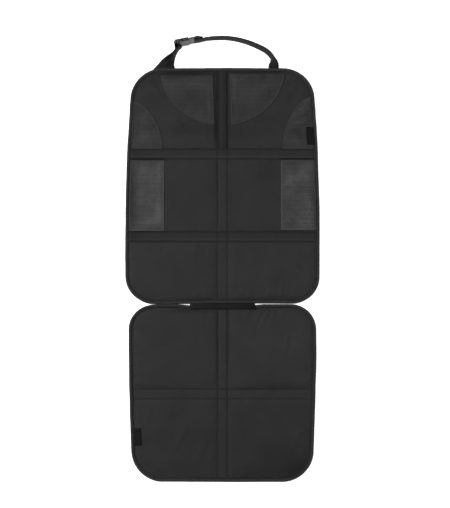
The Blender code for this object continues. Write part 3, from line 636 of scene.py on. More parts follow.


# Where a net is doubled or pulled thin, and painted shadows on it at its mouth and along the edging:
# middle pixel, reach along and across in pixels, turn in degrees, and tone, below 0 where it is darker
NET_TONES = {
    "neck_left": (
        (190, 84, 22, 4.5, 0, 0.26), (176, 76.5, 11, 2.6, 0, -0.40), (190, 101, 14, 9, 0, -0.32),
        (211, 100, 3, 20, 0, 0.40), (197, 117, 14, 4, -25, 0.10), (172, 88, 4, 6, 30, 0.10),
        (186, 112, 3, 3, 0, 0.20), (205, 112, 3, 8, 0, -0.14), (179, 111, 5, 5, -40, -0.16),
    ),
    "neck_right": (
        (234, 82, 6, 9, 0, 0.26), (263, 88, 14, 6, 20, 0.26), (240, 107, 9, 9, 0, -0.26),
        (279, 77, 8, 4, 0, -0.18), (250, 80, 5, 4, 0, 0.08), (250, 116, 16, 3, 25, 0.10),
        (256, 100, 6, 5, 0, 0.08), (233, 97, 2.5, 12, 0, 0.14),
    ),
    "shoulder_left": (
        (134, 104, 3, 14, 0, -0.20), (150, 124, 14, 3, -10, 0.12), (147, 129, 14, 1.4, 0, -0.14),
        (148, 139, 12, 7, 0, 0.26), (133, 134, 3, 14, 0, -0.10), (142, 118, 8, 4, 20, 0.12),
        (140, 110, 10, 5, 20, -0.28),
    ),
    "shoulder_right": (
        (307, 97, 6, 6, 40, 0.40), (302, 116, 12, 2.6, 20, -0.24), (295, 123, 8, 3, 10, 0.26),
        (297, 132, 8, 4, 0, -0.22), (300, 143, 13, 4, 0, 0.22), (312, 108, 3, 10, 0, 0.18),
        (292, 112, 4, 5, 40, 0.14), (306, 109, 6, 6, 0, 0.22),
    ),
    "pocket_left": (
        (131.6, 192, 3.8, 42, 0, -0.60), (140, 168, 6, 5, 0, 0.14), (136.5, 190, 3.4, 12, 0, -0.22),
        (161, 203, 4.5, 18, 0, 0.44), (161, 173, 3.5, 10, 0, 0.28), (152, 222, 14, 5, 5, 0.22),
        (150, 163, 14, 4, 0, -0.16), (137, 218, 4, 6, 0, -0.16), (152, 177, 5, 3, 0, 0.08),
        (161, 187, 4, 3, 0, -0.10),
    ),
    "pocket_right": (
        (300, 162, 16, 3.5, 0, -0.24), (294, 178, 18, 4, 30, 0.34), (303, 188, 12, 2.5, 38, -0.06),
        (317, 178, 2.4, 24, 0, -0.40), (309, 200, 4.5, 22, 5, 0.26), (290, 218, 4.5, 7, -15, 0.32),
        (292, 202, 7, 6, 0, -0.08), (305, 172, 8, 4, 20, 0.22), (303, 216, 5, 5, 0, 0.12),
        (283, 222, 2, 8, 0, -0.10), (307, 221, 6, 7, 0, 0.26), (287, 181, 4.5, 8, 0, 0.26),
    ),
}


def tones_at(x, y, tones):
    """The sum of soft oval patches, positive where it is lighter."""
    total = np.zeros(len(x))
    for px, py, reach_x, reach_y, turn, tone in tones:
        u, v = pixels_from(x, y, px, py)
        cos, sin = math.cos(math.radians(turn)), math.sin(math.radians(turn))
        total += tone * np.exp(-(((u * cos + v * sin) / reach_x) ** 2) - ((v * cos - u * sin) / reach_y) ** 2)
    return total


def add_net(name, loop, surface, bulge, material, seed, tones):
    """Knitted net with its real holes over an area, slack in the middle and sewn down at its edge."""
    low, high = loop.min(axis=0), loop.max(axis=0)
    pitch_x, pitch_y = NET_PITCH
    columns = np.arange(low[0] - pitch_x, high[0] + pitch_x, pitch_x)
    rows = np.arange(low[1] - pitch_y, high[1] + pitch_y, pitch_y)
    centres = [(x + (row % 2) * pitch_x / 2, y, row % 2) for row, y in enumerate(rows) for x in columns]
    centres = np.array(centres)
    centres = centres[in_loop(centres[:, 0], centres[:, 1], loop)]
    inside, _ = Outline(loop, 0.002).nearest(centres[:, 0], centres[:, 1])
    centres, inside = centres[inside > 0.0026], inside[inside > 0.0026]
    x, y = centres[:, 0], centres[:, 1]
    slack = bulge * np.sin(np.clip(inside / inside.max(), 0, 1) * math.pi / 2)
    slack *= 1 + 0.8 * billow(x, y, 0.045, seed)
    loose = 0.0005 * (1 + billow(x, y, 0.018, seed + 1)) + 0.004 * np.clip(tones_at(x, y, tones), 0, 0.3)
    slack += loose * np.clip(inside / 0.01, 0, 1)
    slant = np.radians([30, 90, 150, 210, 270, 330])
    outer = [np.cos(slant) * pitch_x / 2 / math.cos(math.pi / 6), np.sin(slant) * pitch_y / 1.5]
    outer = np.stack(outer, axis=1)
    holes = [outer * share for share in HOLE_SHARES]
    points, faces = [], []
    for (x, y, row), more in zip(centres, slack):
        z = height_on(surface, x, y) + 0.0009 + more
        base = len(points)
        points += [(x + dx, y + dy, z) for dx, dy in outer]
        points += [(x + dx, y + dy, z - 0.00030) for dx, dy in holes[int(row)]]
        faces += [(base + k, base + (k + 1) % 6, base + 6 + (k + 1) % 6, base + 6 + k) for k in range(6)]
    obj = add_mesh(name, points, faces, material)
    with editing(obj.data) as bm:
        bmesh.ops.remove_doubles(bm, verts=bm.verts[:], dist=0.00035)
    places = np.array([v.co for v in obj.data.vertices])
    # The shade: doubled and thin patches of net, and painted shadows such as at a mouth and along the edging.
    set_shade(obj, np.clip(NET_SHADE - (1 - NET_SHADE) * tones_at(places[:, 0], places[:, 1], tones), 0, 1))
    return obj, high - low, len(centres) * pitch_x * pitch_y


def set_run(obj, along, across):
    """Stores how far along and across its own length each point of a tape is, for its ribs."""
    layer = obj.data.uv_layers.new(name="run")
    corner_points = np.empty(len(obj.data.loops), int)
    obj.data.loops.foreach_get("vertex_index", corner_points)
    spots = np.stack([np.asarray(along)[corner_points], np.asarray(across)[corner_points]], axis=1)
    whole = np.max(along)
    for face in obj.data.polygons:
        corners = slice(face.loop_start, face.loop_start + face.loop_total)
        if np.ptp(spots[corners, 0]) > whole / 2:
            spots[corners, 0] += whole * (spots[corners, 0] < whole / 2)
    layer.data.foreach_set("uv", spots.ravel())


# Where the corners of a tape's section are across it, as shares of half its width
SECTION_ACROSS = (-1, -0.96, -0.33, 0.33, 0.96, 1, 0.96, 0.33, -0.33, -0.96)


def add_tape(name, places, across, width, thickness, material):
    """A ribbed tape or webbing through places, with its width along the given direction at each."""
    places, across = np.asarray(places, float), np.asarray(across, float)
    normal = np.cross(np.gradient(places, axis=0), across)
    normal /= np.linalg.norm(normal, axis=1)[:, None]
    half, deep = width / 2, thickness / 2
    soft = min(deep, 0.0006)
    flat = [-half + soft, -half * 0.33, half * 0.33, half - soft]
    section = [(-half, 0.0), *((s, -deep) for s in flat), (half, 0.0), *((s, deep) for s in reversed(flat))]
    points = [p + a * s + n * t for p, a, n in zip(places, across, normal) for s, t in section]
    wide, faces = len(section), []
    for here in range(0, wide * (len(places) - 1), wide):
        for k in range(wide):
            m = (k + 1) % wide
            faces.append((here + k, here + m, here + wide + m, here + wide + k))
    faces.append(tuple(range(wide - 1, -1, -1)))
    faces.append(tuple(wide * (len(places) - 1) + k for k in range(wide)))
    obj = add_mesh(name, points, faces, material)
    run = np.repeat(run_along(places), wide)
    set_run(obj, run, np.tile(np.array(SECTION_ACROSS) * width / 2, len(places)))
    return obj


# Finishes


def node_group(name, inputs, outputs):
    """A shader group that takes and gives plain numbers, with its two end nodes."""
    tree = bpy.data.node_groups.new(name, "ShaderNodeTree")
    for title, value in inputs.items():
        tree.interface.new_socket(title, in_out="INPUT", socket_type="NodeSocketFloat").default_value = value
    for title in outputs:
        tree.interface.new_socket(title, in_out="OUTPUT", socket_type="NodeSocketFloat")
    return tree, tree.nodes.new("NodeGroupInput"), tree.nodes.new("NodeGroupOutput")


def feed(tree, socket, value):
    """Sets a socket, or links another node's output to it."""
    if isinstance(value, bpy.types.NodeSocket):
        tree.links.new(value, socket)
    else:
        socket.default_value = value


def math_node(tree, operation, *values):
    """The result of one step of arithmetic."""
    node = tree.nodes.new("ShaderNodeMath")
    node.operation = operation
    for socket, value in zip(node.inputs, values):
        feed(tree, socket, value)
    return node.outputs[0]


def scaled(tree, value, gain, base):
    """A value times a gain, plus a base."""
    return math_node(tree, "ADD", math_node(tree, "MULTIPLY", value, gain), base)


def wave_of(tree, turns):
    """A wave from -1 to 1, once a turn."""
    return math_node(tree, "SINE", math_node(tree, "MULTIPLY", turns, math.tau))


def noise_node(tree, vector, scale, detail=2.0, roughness=0.5):
    """Noise from 0 to 1 over a place."""
    node = tree.nodes.new("ShaderNodeTexNoise")
    inputs = {"Vector": vector, "Scale": scale, "Detail": detail, "Roughness": roughness}
    for socket, value in inputs.items():
        feed(tree, node.inputs[socket], value)
    return node.outputs["Fac"]


def weave_group():
    """Plain weave: threads over and under each other, with a little unevenness."""
    tree, start, end = node_group("plain_weave", {"Threads": 900.0, "Unevenness": 0.3}, ("Height", "Tone"))
    place = tree.nodes.new("ShaderNodeTexCoord").outputs["Object"]
    split = tree.nodes.new("ShaderNodeSeparateXYZ")
    feed(tree, split.inputs[0], place)
    threads = [math_node(tree, "MULTIPLY", split.outputs[axis], start.outputs["Threads"]) for axis in "XY"]
    weave = math_node(tree, "MULTIPLY", *(wave_of(tree, turns) for turns in threads))
    bumpy = math_node(tree, "MULTIPLY", noise_node(tree, place, 420.0), start.outputs["Unevenness"])
    feed(tree, end.inputs["Height"], scaled(tree, weave, 0.5, bumpy))
    feed(tree, end.inputs["Tone"], scaled(tree, weave, 0.06, 1.0))
    return tree


def wear_group():
    """Soft patches where the cloth is a little paler or darker, and fine lint."""
    tree, start, end = node_group("soft_patches", {"Patch Size": 9.0, "Patches": 0.12, "Lint": 0.05}, ("Tone",))
    place = tree.nodes.new("ShaderNodeTexCoord").outputs["Object"]
    swings = []
    for name, noise in (
        ("Patches", noise_node(tree, place, start.outputs["Patch Size"], 6.0, 0.62)),
        ("Lint", noise_node(tree, place, 300.0)),
    ):
        swings.append(math_node(tree, "MULTIPLY", math_node(tree, "SUBTRACT", noise, 0.5), start.outputs[name]))
    feed(tree, end.inputs["Tone"], math_node(tree, "ADD", math_node(tree, "ADD", *swings), 1.0))
    return tree


def rib_group():
    """Raised ribs across a tape, slanting to a point along its middle."""
    tree, start, end = node_group("tape_ribs", {"Ribs": 500.0, "Slant": 0.5, "Rows": 80.0}, ("Height", "Tone"))
    split = tree.nodes.new("ShaderNodeSeparateXYZ")
    feed(tree, split.inputs[0], tree.nodes.new("ShaderNodeTexCoord").outputs["UV"])
    rows = math_node(tree, "MULTIPLY", split.outputs["Y"], start.outputs["Rows"])
    rows = math_node(tree, "PINGPONG", rows, 1.0)
    slant = math_node(tree, "MULTIPLY", rows, start.outputs["Slant"])
    wave = wave_of(tree, scaled(tree, split.outputs["X"], start.outputs["Ribs"], slant))
    feed(tree, end.inputs["Height"], wave)
    feed(tree, end.inputs["Tone"], scaled(tree, wave, 0.10, 1.0))
    return tree


WEAVE, WEAR, RIBS = weave_group(), wear_group(), rib_group()


def new_material(name, specular):
    """A material with its node tree and its shader."""
    material = bpy.data.materials.new(name)
    material.use_nodes = True
    shader = material.node_tree.nodes["Principled BSDF"]
    shader.inputs["Specular IOR Level"].default_value = specular
    return material, material.node_tree, shader


def feed_shader(tree, shader, level, tone, roughness, height, strength, depth):
    """Gives a shader its grey times a tone, its roughness and its bump."""
    tint = tree.nodes.new("ShaderNodeVectorMath")
    tint.operation = "SCALE"
    bump = tree.nodes.new("ShaderNodeBump")
    for socket, value in (
        (tint.inputs[0], (level, level, level * 1.01)),
        (tint.inputs["Scale"], tone),
        (shader.inputs["Base Color"], tint.outputs["Vector"]),
        (shader.inputs["Roughness"], roughness),
        (bump.inputs["Strength"], strength),
        (bump.inputs["Distance"], depth),
        (bump.inputs["Height"], height),
        (shader.inputs["Normal"], bump.outputs["Normal"]),
    ):
        feed(tree, socket, value)


def finish_of(name, level, roughness, specular, depth, threads=0, ribs=(), shadow=0.0, patches=(9, 0.12, 0.05)):
    """A material of one grey with a woven or ribbed surface and soft patches, darkened by the painted shade and
    stitching that its shade attribute holds.
    """
    material, tree, shader = new_material(name, specular)
    surface, wear = tree.nodes.new("ShaderNodeGroup"), tree.nodes.new("ShaderNodeGroup")
    surface.node_tree = RIBS if ribs else WEAVE
    wear.node_tree = WEAR
    sizes = zip(("Ribs", "Rows"), ribs) if ribs else [("Threads", threads)]
    for node, values in ((surface, sizes), (wear, zip(("Patch Size", "Patches", "Lint"), patches))):
        for socket, value in values:
            node.inputs[socket].default_value = value
    tone = math_node(tree, "MULTIPLY", surface.outputs["Tone"], wear.outputs["Tone"])
    # Painted shade: the shade attribute takes away up to shadow of the colour.
    if shadow:
        shade = tree.nodes.new("ShaderNodeAttribute")
        shade.attribute_name = "shade"
        keep = math_node(tree, "SUBTRACT", 1.0, math_node(tree, "MULTIPLY", shade.outputs["Fac"], shadow))
        tone = math_node(tree, "MULTIPLY", tone, keep)
    rough = scaled(tree, wear.outputs["Tone"], 0.25, roughness - 0.25)
    feed_shader(tree, shader, level, tone, rough, surface.outputs["Height"], 0.6, depth)
    return material


def plastic(name, level, roughness):
    """Moulded plastic with a fine grain."""
    material, tree, shader = new_material(name, 0.4)
    place = tree.nodes.new("ShaderNodeTexCoord").outputs["Object"]
    grain = noise_node(tree, place, 1400.0)
    tone = scaled(tree, noise_node(tree, place, 90.0), 0.3, 0.85)
    rough = scaled(tree, grain, 0.15, roughness - 0.07)
    feed_shader(tree, shader, level, tone, rough, grain, 0.25, 0.0001)
    return material


NETTING = {"threads": 700, "shadow": 1.0}
TAPING = {"threads": 620, "shadow": 0.85, "patches": (20.0, 1.2, 0.3)}
FINISHES = {
    "cloth": finish_of(
        "coated_cloth", 0.0118, 0.72, 0.18, 0.0003, threads=620, shadow=0.80, patches=(13.0, 1.15, 0.55)
    ),
    "lining": finish_of("non_slip_lining", 0.012, 0.85, 0.15, 0.0006, threads=240),
    "edging": finish_of(
        "edging_tape", 0.0116, 0.66, 0.22, 0.0003, ribs=(480, 120), shadow=0.9, patches=(30.0, 1.0, 0.4)
    ),
    # The nets' greys are raised above the cloth's to stand in for the sheen of their knit yarns: painted sheen.
    "pocket_net": finish_of("pocket_net", 0.0515, 0.68, 0.22, 0.0002, patches=(17.0, 2.2, 0.6), **NETTING),
    "shoulder_net": finish_of("shoulder_net", 0.0300, 0.68, 0.20, 0.0002, patches=(18.0, 2.0, 0.6), **NETTING),
    "neck_net": finish_of("neck_net", 0.0285, 0.68, 0.20, 0.0002, patches=(15.0, 1.8, 0.6), **NETTING),
    "band": finish_of("band_tape", 0.0121, 0.72, 0.18, 0.0003, **TAPING),
    "neck_band": finish_of("neck_band", 0.0076, 0.72, 0.16, 0.0003, **TAPING),
    "hem": finish_of("net_hem", 0.018, 0.66, 0.2, 0.0002, threads=500, shadow=0.8),
    "pocket_hem": finish_of("pocket_hem", 0.036, 0.66, 0.2, 0.0002, threads=500, shadow=0.8),
    "label": finish_of("satin_label", 0.0016, 0.55, 0.10, 0.0001, threads=1500, shadow=0.6),
    "short_webbing": finish_of("short_webbing", 0.0094, 0.66, 0.10, 0.0004, ribs=(620, 160)),
    "long_webbing": finish_of("long_webbing", 0.0088, 0.64, 0.09, 0.0004, ribs=(620, 160)),
    "joining": finish_of("joining_webbing", 0.0044, 0.66, 0.12, 0.0004, ribs=(500, 160)),
    "thread": finish_of("sewing_thread", 0.004, 0.5, 0.2, 0.0001, threads=1200),
    "foam": finish_of("foam", 0.42, 0.95, 0.2, 0.0004, threads=300),
    "buckle": plastic("buckle_plastic", 0.012, 0.34),
}


# The mat

back = Panel("backrest_binding", (0.463, 0.432), 0.0077, (0.062, 0.072), (0.206, 0.4045), 3, BACK_CREASE)
seat_panel = Panel("seat_binding", (0.430, 0.450), 0.0036, (0.072, 0.060), (0.215,), 5, SEAT_CREASE)

back_cloth, back_surface = add_cloth("back_cloth", back, BACK_FOLDS, BACK_SHADOWS)
seat(back_cloth, "cover_cloth", "backrest_front_cover")
seat_cloth, seat_surface = add_cloth("seat_cloth", seat_panel, SEAT_FOLDS, SEAT_SHADOWS)
seat(seat_cloth, "cover_cloth", "seat_front_cover")
for word, panel, surface, node in (
    ("back", back, back_surface, "backrest"),
    ("seat", seat_panel, seat_surface, "seat"),
):
    lining = seat(add_lining(f"{word}_lining", panel), "rear_cloth", f"{node}_rear_cover")
    edging = seat(add_edging(f"{word}_edging", panel), "binding", f"{node}_binding")
    stitches = add_stitches(f"{word}_stitches", panel, surface)
    size = np.ptp(panel.edge.points, axis=0)
    area = area_of(panel.edge.points)


def add_pads(name, panel, rows, surface, cloth=0.0013):
    """Foam in each field between the seams, crowned as the cloth over it is."""
    x, y, quads, inside, _, _ = panel_grid(panel, 0.007, EDGING_WIDTH)
    crown = panel.crown(x, y, inside)
    top = np.array([height_on(surface, a, b) for a, b in zip(x, y)]) - cloth
    under = 0.0017 - 0.0009 * crown
    ends = [panel.head, *panel.bands, panel.foot]
    for row, high, low in zip(rows, ends, ends[1:]):
        for side, word in ((-1, "left"), (1, "right")):
            keep = (crown > 0.5) & (x * side > 0) & (y < high) & (y > low)
            chosen = quads[keep[quads].all(axis=1)]
            used = np.unique(chosen)
            index = {int(n): k for k, n in enumerate(used)}
            count = len(used)
            upper = [tuple(index[int(n)] for n in quad) for quad in chosen]
            directed = {(q[k], q[(k + 1) % 4]) for q in upper for k in range(4)}
            rim = [(a, b) for a, b in directed if (b, a) not in directed]
            faces = upper + [tuple(n + count for n in quad[::-1]) for quad in upper]
            faces += [(b, a, a + count, b + count) for a, b in sorted(rim)]
            points = [(x[n], y[n], top[n]) for n in used] + [(x[n], y[n], under[n]) for n in used]
            foam = add_mesh(f"{name}_foam_{row}_{word}", points, faces, FINISHES["foam"])
            seat(foam, "foam", f"{name}_pad_{row}_{word}")


add_pads("backrest", back, ("upper", "middle", "lower"), back_surface)
add_pads("seat", seat_panel, ("rear", "front"), seat_surface)


# Pieces sewn on the back


def add_flat_band(name, start, end, crosswise, profile, material, seed, mouths=0.0):
    """A tape laid on the back between two places, along the panel or across it.

    Its profile has rows of offset across the tape, height and painted shade, and mouths is how much painted
    shadow falls on it over the pockets' mouths. A cross tape is also darker where the middle seams cross it and
    toward its left end.
    """
    (ax, ay), (bx, by) = start, end
    length = math.hypot(bx - ax, by - ay)
    sewn = [length / 2 - BAND_HALF, length / 2 + BAND_HALF] if crosswise else []
    runs = grid_lines(0, length, 0.0035, sewn)
    points, faces, shade = [], [], []
    for run in runs:
        share = run / length
        x, y = ax + (bx - ax) * share, ay + (by - ay) * share
        base = SEWN_HEIGHT + 0.0008 if crosswise else max(height_on(back_surface, x, y), SEWN_HEIGHT)
        crossing = sum(math.exp(-(((run - seam) / 0.0011) ** 2)) for seam in sewn)
        base -= 0.0005 * crossing
        to_end = min(run, length - run) if crosswise else length - run
        raised = min(1.0, (to_end / 0.005) ** 0.6)
        wave = 0.00016 * float(ripple(run, 0.021, seed)) + 0.00010 * float(ripple(run, 0.0068, seed + 1))
        sway = 0.0007 * float(ripple(run, 0.038, seed + 5))
        at_left = 0.34 * math.exp(-((run / 0.040) ** 2)) if crosswise else 0
        for offset, height, dark in profile:
            loose = 1 if height > 0.0008 else 0.2
            fold = 0.00018 * float(ripple(run + offset * 0.4, 0.011, seed + 2)) * loose
            z = base + height + (wave if height > 0.0005 else 0) + fold
            place = (x, y + offset) if crosswise else (x + offset + sway, y)
            points.append((*place, SEWN_HEIGHT + (z - SEWN_HEIGHT) * raised))
            # Painted shadow at the pockets' mouths.
            at_mouth = mouths if offset < -0.0104 and abs(x) > 0.141 else 0
            shade.append(max(dark, 0.6 * crossing) + at_left + at_mouth)
    wide = len(profile)
    for ring in range(0, wide * (len(runs) - 1), wide):
        for a in range(ring, ring + wide - 1):
            face = (a, a + wide, a + wide + 1, a + 1)
            faces.append(face if crosswise else face[::-1])
    obj = add_mesh(name, points, faces, material)
    set_shade(obj, shade)
    return obj


# The nets' hems, with the share of the width, height and shade of each row across them
HEM_WIDTH, HEM_LIFT = 0.0038, 0.0009
HEM_ROWS = (
    (0, -0.0004, 0.9), (0.06, 0.0003, 0.15), (0.3, 0.0005, 0.0), (0.42, 0.0001, 0.40), (0.54, 0.0005, 0.0),
    (0.92, 0.0003, 0.1), (1, -0.0003, 0.35),
)


def add_hem(name, loop, material):
    """A flat seamed strip just inside a loop, on the back's cloth, with painted shade at a mouth and beside the
    edging.
    """
    border = Outline(loop, 0.0025)
    marks = np.arange(len(border.points)) * border.step

    def section(n):
        x, y = border.points[n] + border.inwards[n] * (HEM_WIDTH / 2)
        z = height_on(back_surface, x, y) + HEM_LIFT
        wave = 0.00012 * float(ripple(marks[n], 0.013, 91))
        return [(HEM_WIDTH * share, z + up + wave) for share, up, _ in HEM_ROWS]

    obj = add_mesh(name, *sweep(border, section, closed=False), material)
    # Painted shade: darker along a net's top edge, its mouth, and along the outer side beside the edging.
    at_mouth = 0.75 * (border.points[:, 1] > border.points[:, 1].max() - 0.002)
    reach = np.abs(border.points[:, 0])
    at_side = 0.55 * (reach > reach.max() - 0.006) * (reach.max() > 0.19)
    dark = np.repeat(np.maximum(at_mouth, at_side), len(HEM_ROWS))
    shades = np.tile([shade for _, _, shade in HEM_ROWS], len(border.points))
    set_shade(obj, np.maximum(shades, dark))
    return obj


def counterclockwise(loop):
    """A loop as an array that runs counterclockwise."""
    loop = np.asarray(loop, float)
    return loop if area_of(loop) > 0 else loop[::-1]


# The nets' outlines, as (left, right) where the photograph shows them unequal
NECK_INNER = ((0.0235, 0.0192), (0.0175, 0.0210))
NECK_MOUTH_DOWN = (0.0165, 0.0125)
NECK_REACH, NECK_DROP = 0.150, 0.138
SHOULDER_REACH = 0.0845
SHOULDER_HEIGHTS = ((0.1075, 0.1190), (0.1170, 0.1330))
POCKET_INNER = 0.140
POCKET_GAPS = ((0.0020, 0.0030), (0.0042, 0.0020))


def rail(side, ys):
    """The side of a net along the edging."""
    return [(side * (back.half_width(y) - NET_INSET), y) for y in ys]


def neck_loop(side):
    """The quarter round of net, whose inner edge isn't quite upright: it pulls away from the middle band."""
    top, bottom = NECK_INNER[side > 0]
    mouth = back.head - NECK_MOUTH_DOWN[side > 0]
    turns = np.radians(np.linspace(0, 90, 37))
    curve = [(side * NECK_REACH * math.cos(t), back.head - NECK_DROP * math.sin(t)) for t in turns]
    curve = [(x, y) for x, y in curve if y < mouth and abs(x) > bottom]
    widest = side * NECK_REACH * math.sqrt(1 - ((back.head - mouth) / NECK_DROP) ** 2)
    lowest = back.head - NECK_DROP * math.sqrt(1 - (bottom / NECK_REACH) ** 2)
    return counterclockwise([(side * top, mouth), (widest, mouth), *curve, (side * bottom, lowest)])


def shoulder_loop(side):
    """The net beside the edging above the upper band, narrowing upwards."""
    foot = back.bands[0] + BAND_HALF + GAP
    low, high = SHOULDER_HEIGHTS[side > 0]
    curve = []
    for share in np.linspace(0, 1, 37):
        turn, reach = share * math.pi / 2, low + (high - low) * share
        x = side * (back.half_width(foot) - SHOULDER_REACH * math.cos(turn))
        curve.append((x, foot + reach * math.sin(turn)))
    curve = [(x, y) for x, y in curve if abs(x) < back.half_width(y) - NET_INSET - GAP]
    return counterclockwise(curve + rail(side, (curve[-1][1], foot + 0.06, foot)))


def pocket_loop(side):
    """The pocket between the two cross bands."""
    below, above = POCKET_GAPS[side > 0]
    foot, head = back.bands[1] + BAND_HALF + below, back.bands[0] - BAND_HALF - above
    ends = [(side * POCKET_INNER, foot), (side * POCKET_INNER, head)]
    return counterclockwise(ends + rail(side, (head, (foot + head) / 2, foot)))


def add_nets():
    """The six nets of the back, each with its hem."""
    for side, word in ((-1, "left"), (1, "right")):
        for kind, loop, bulge, node in (
            ("neck", neck_loop(side), 0.0012, "neck_mesh"),
            ("shoulder", shoulder_loop(side), 0.0010, "shoulder_mesh"),
            ("pocket", pocket_loop(side), 0.0018, "side_pocket"),
        ):
            seed = 100 + 10 * len(kind) + side
            tones, material = NET_TONES[f"{kind}_{word}"], FINISHES[f"{kind}_net"]
            net, size, area = add_net(f"{kind}_net_{word}", loop, back_surface, bulge, material, seed, tones)
            seat(net, "mesh", f"{node}_{word}")
            border = add_hem(f"{kind}_hem_{word}", loop, FINISHES["pocket_hem" if kind == "pocket" else "hem"])
            seat(border, "tape")
            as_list(back_cloth)


# Sections of the tapes: (offset across, height, shade). The shade is painted: in the grooves at the tapes'
# edges, in the recesses beside the neck tape, and over the upper part of a cross tape.
CROSS_PROFILE = (
    (-0.0128, 0.0002, 0.7), (-0.0126, 0.0009, 0.25), (-0.0118, 0.0008, 0.4), (-0.0113, 0.0003, 0.85),
    (-0.0107, 0.0010, 0.3), (-0.0096, 0.0015, 0.0), (-0.0062, 0.0022, 0.0), (-0.0042, 0.0020, 0.0),
    (-0.0030, 0.0011, 0.38), (-0.0012, 0.0010, 0.28), (0.0030, 0.0012, 0.30), (0.0072, 0.0012, 0.42),
    (0.0102, 0.0009, 0.6), (0.0109, 0.0003, 1.0), (0.0114, 0.0008, 0.6), (0.0121, 0.0009, 0.4),
    (0.0124, 0.0002, 0.9),
)
NECK_PROFILE = (
    (-0.0118, 0.0001, 1.0), (-0.0092, 0.0003, 0.9), (-0.0088, 0.0012, 0.4), (-0.0076, 0.0013, 0.2),
    (-0.0068, 0.0009, 0.7), (-0.0058, 0.0013, 0.0), (0.0, 0.0015, 0.0), (0.0058, 0.0013, 0.0),
    (0.0068, 0.0009, 0.6), (0.0076, 0.0013, 0.2), (0.0088, 0.0012, 0.35), (0.0094, 0.0004, 0.48),
    (0.0118, 0.0003, 0.60),
)


def add_bands():
    """The tapes sewn over the two cross bands and down the middle of the neck, between the nets."""
    for band, word, mouths in zip(back.bands, ("upper", "lower"), (0.8, 0.0)):
        reach = back.half_width(band) - EDGING_WIDTH + TAPE_TUCK
        ends, material = ((-reach, band), (reach, band)), FINISHES["band"]
        tape = add_flat_band(f"{word}_band", *ends, True, CROSS_PROFILE, material, 210, mouths)
        seat(tape, "tape", f"cross_tape_{word}")
        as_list(back_cloth)
    foot, head = back.bands[0] + BAND_HALF, back.head - EDGING_WIDTH + TAPE_TUCK
    tape = add_flat_band("neck_band", (0, foot), (0, head), False, NECK_PROFILE, FINISHES["neck_band"], 220)
    seat(tape, "tape", "centre_tape")
    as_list(back_cloth)


def add_label(name, panel, side, middle, surface, above, node):
    """A folded satin label sewn in beside the edging, with nothing printed on it."""
    low, high = middle - LABEL_LENGTH / 2, middle + LABEL_LENGTH / 2
    sewn = [side * (panel.half_width(y) - EDGING_WIDTH - 0.0008) for y in (low, high)]
    columns, rows = 9, 15
    layer_size = rows * columns
    points, faces, shade = [], [], []
    for layer in (0, 1):
        for j in range(rows):
            y = low + (high - low) * j / (rows - 1)
            start = sewn[0] + (sewn[1] - sewn[0]) * j / (rows - 1)
            for i in range(columns):
                out = i / (columns - 1)
                x = start - side * (LABEL_WIDTH + 0.0003 * float(ripple(y, 0.012, 77))) * out
                lift = 0.0009 * out**2 + 0.00025 * float(ripple(y + out * 0.01, 0.011, 78))
                z = max(height_on(surface, x, y), SEWN_HEIGHT + 0.001) + above + lift
                puffed = 0.0004 * (1 - (2 * out - 1) ** 4) * (1 - (2 * j / (rows - 1) - 1) ** 8)
                points.append((x, y, z + (puffed if layer else -puffed * 0.2)))
                # Painted shade along the sewn edge, where the label goes in beside the edging.
                shade.append(max(0, 1 - out * 9) * 0.9)
        for j in range(rows - 1):
            for i in range(columns - 1):
                a = layer * layer_size + j * columns + i
                face = (a, a + 1, a + columns + 1, a + columns)
                faces.append(face if (layer == 1) == (side < 0) else face[::-1])
    for a in range(columns - 1, layer_size - 1, columns):
        b, c, d = a + columns, a + columns + layer_size, a + layer_size
        faces.append((a, b, c, d) if side > 0 else (a, d, c, b))
    obj = add_mesh(name, points, faces, FINISHES["label"])
    set_shade(obj, shade)
    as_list(panel.cloth)
    return seat(obj, "label", node)


JOINING_WIDTH, JOINING_THICKNESS = 0.156, 0.0008


def add_strip():
    """The dark webbing that joins the panels, from inside the back's edging over the seat's."""
    y, z = back.foot, 0.0066
    places = [
        (0, y + 0.006, 0.0030), (0, y + 0.0005, 0.0030), (0, y - 0.0012, 0.0048), (0, y - 0.0028, z),
        (0, y - 0.0060, z + 0.0003), (0, y - 0.0100, z + 0.0001), (0, y - 0.0130, z - 0.0002),
        (0, y - 0.0137, z - 0.0006),
    ]
    across = [(1, 0, 0)] * len(places)
    strip = add_tape("joining_webbing", places, across, JOINING_WIDTH, JOINING_THICKNESS, FINISHES["joining"])
    seat(strip, "webbing", "joining_strip")
    lines = (y - 0.0045, y - 0.0125)
    rows = [stitch_row([(x, line, z + 0.0007) for x in np.arange(-0.074, 0.0745, 0.002)]) for line in lines]
    add_threads("joining_stitches", rows)


# The strap and its buckle: knots are (x, up from the head edge, roll in degrees, lift)

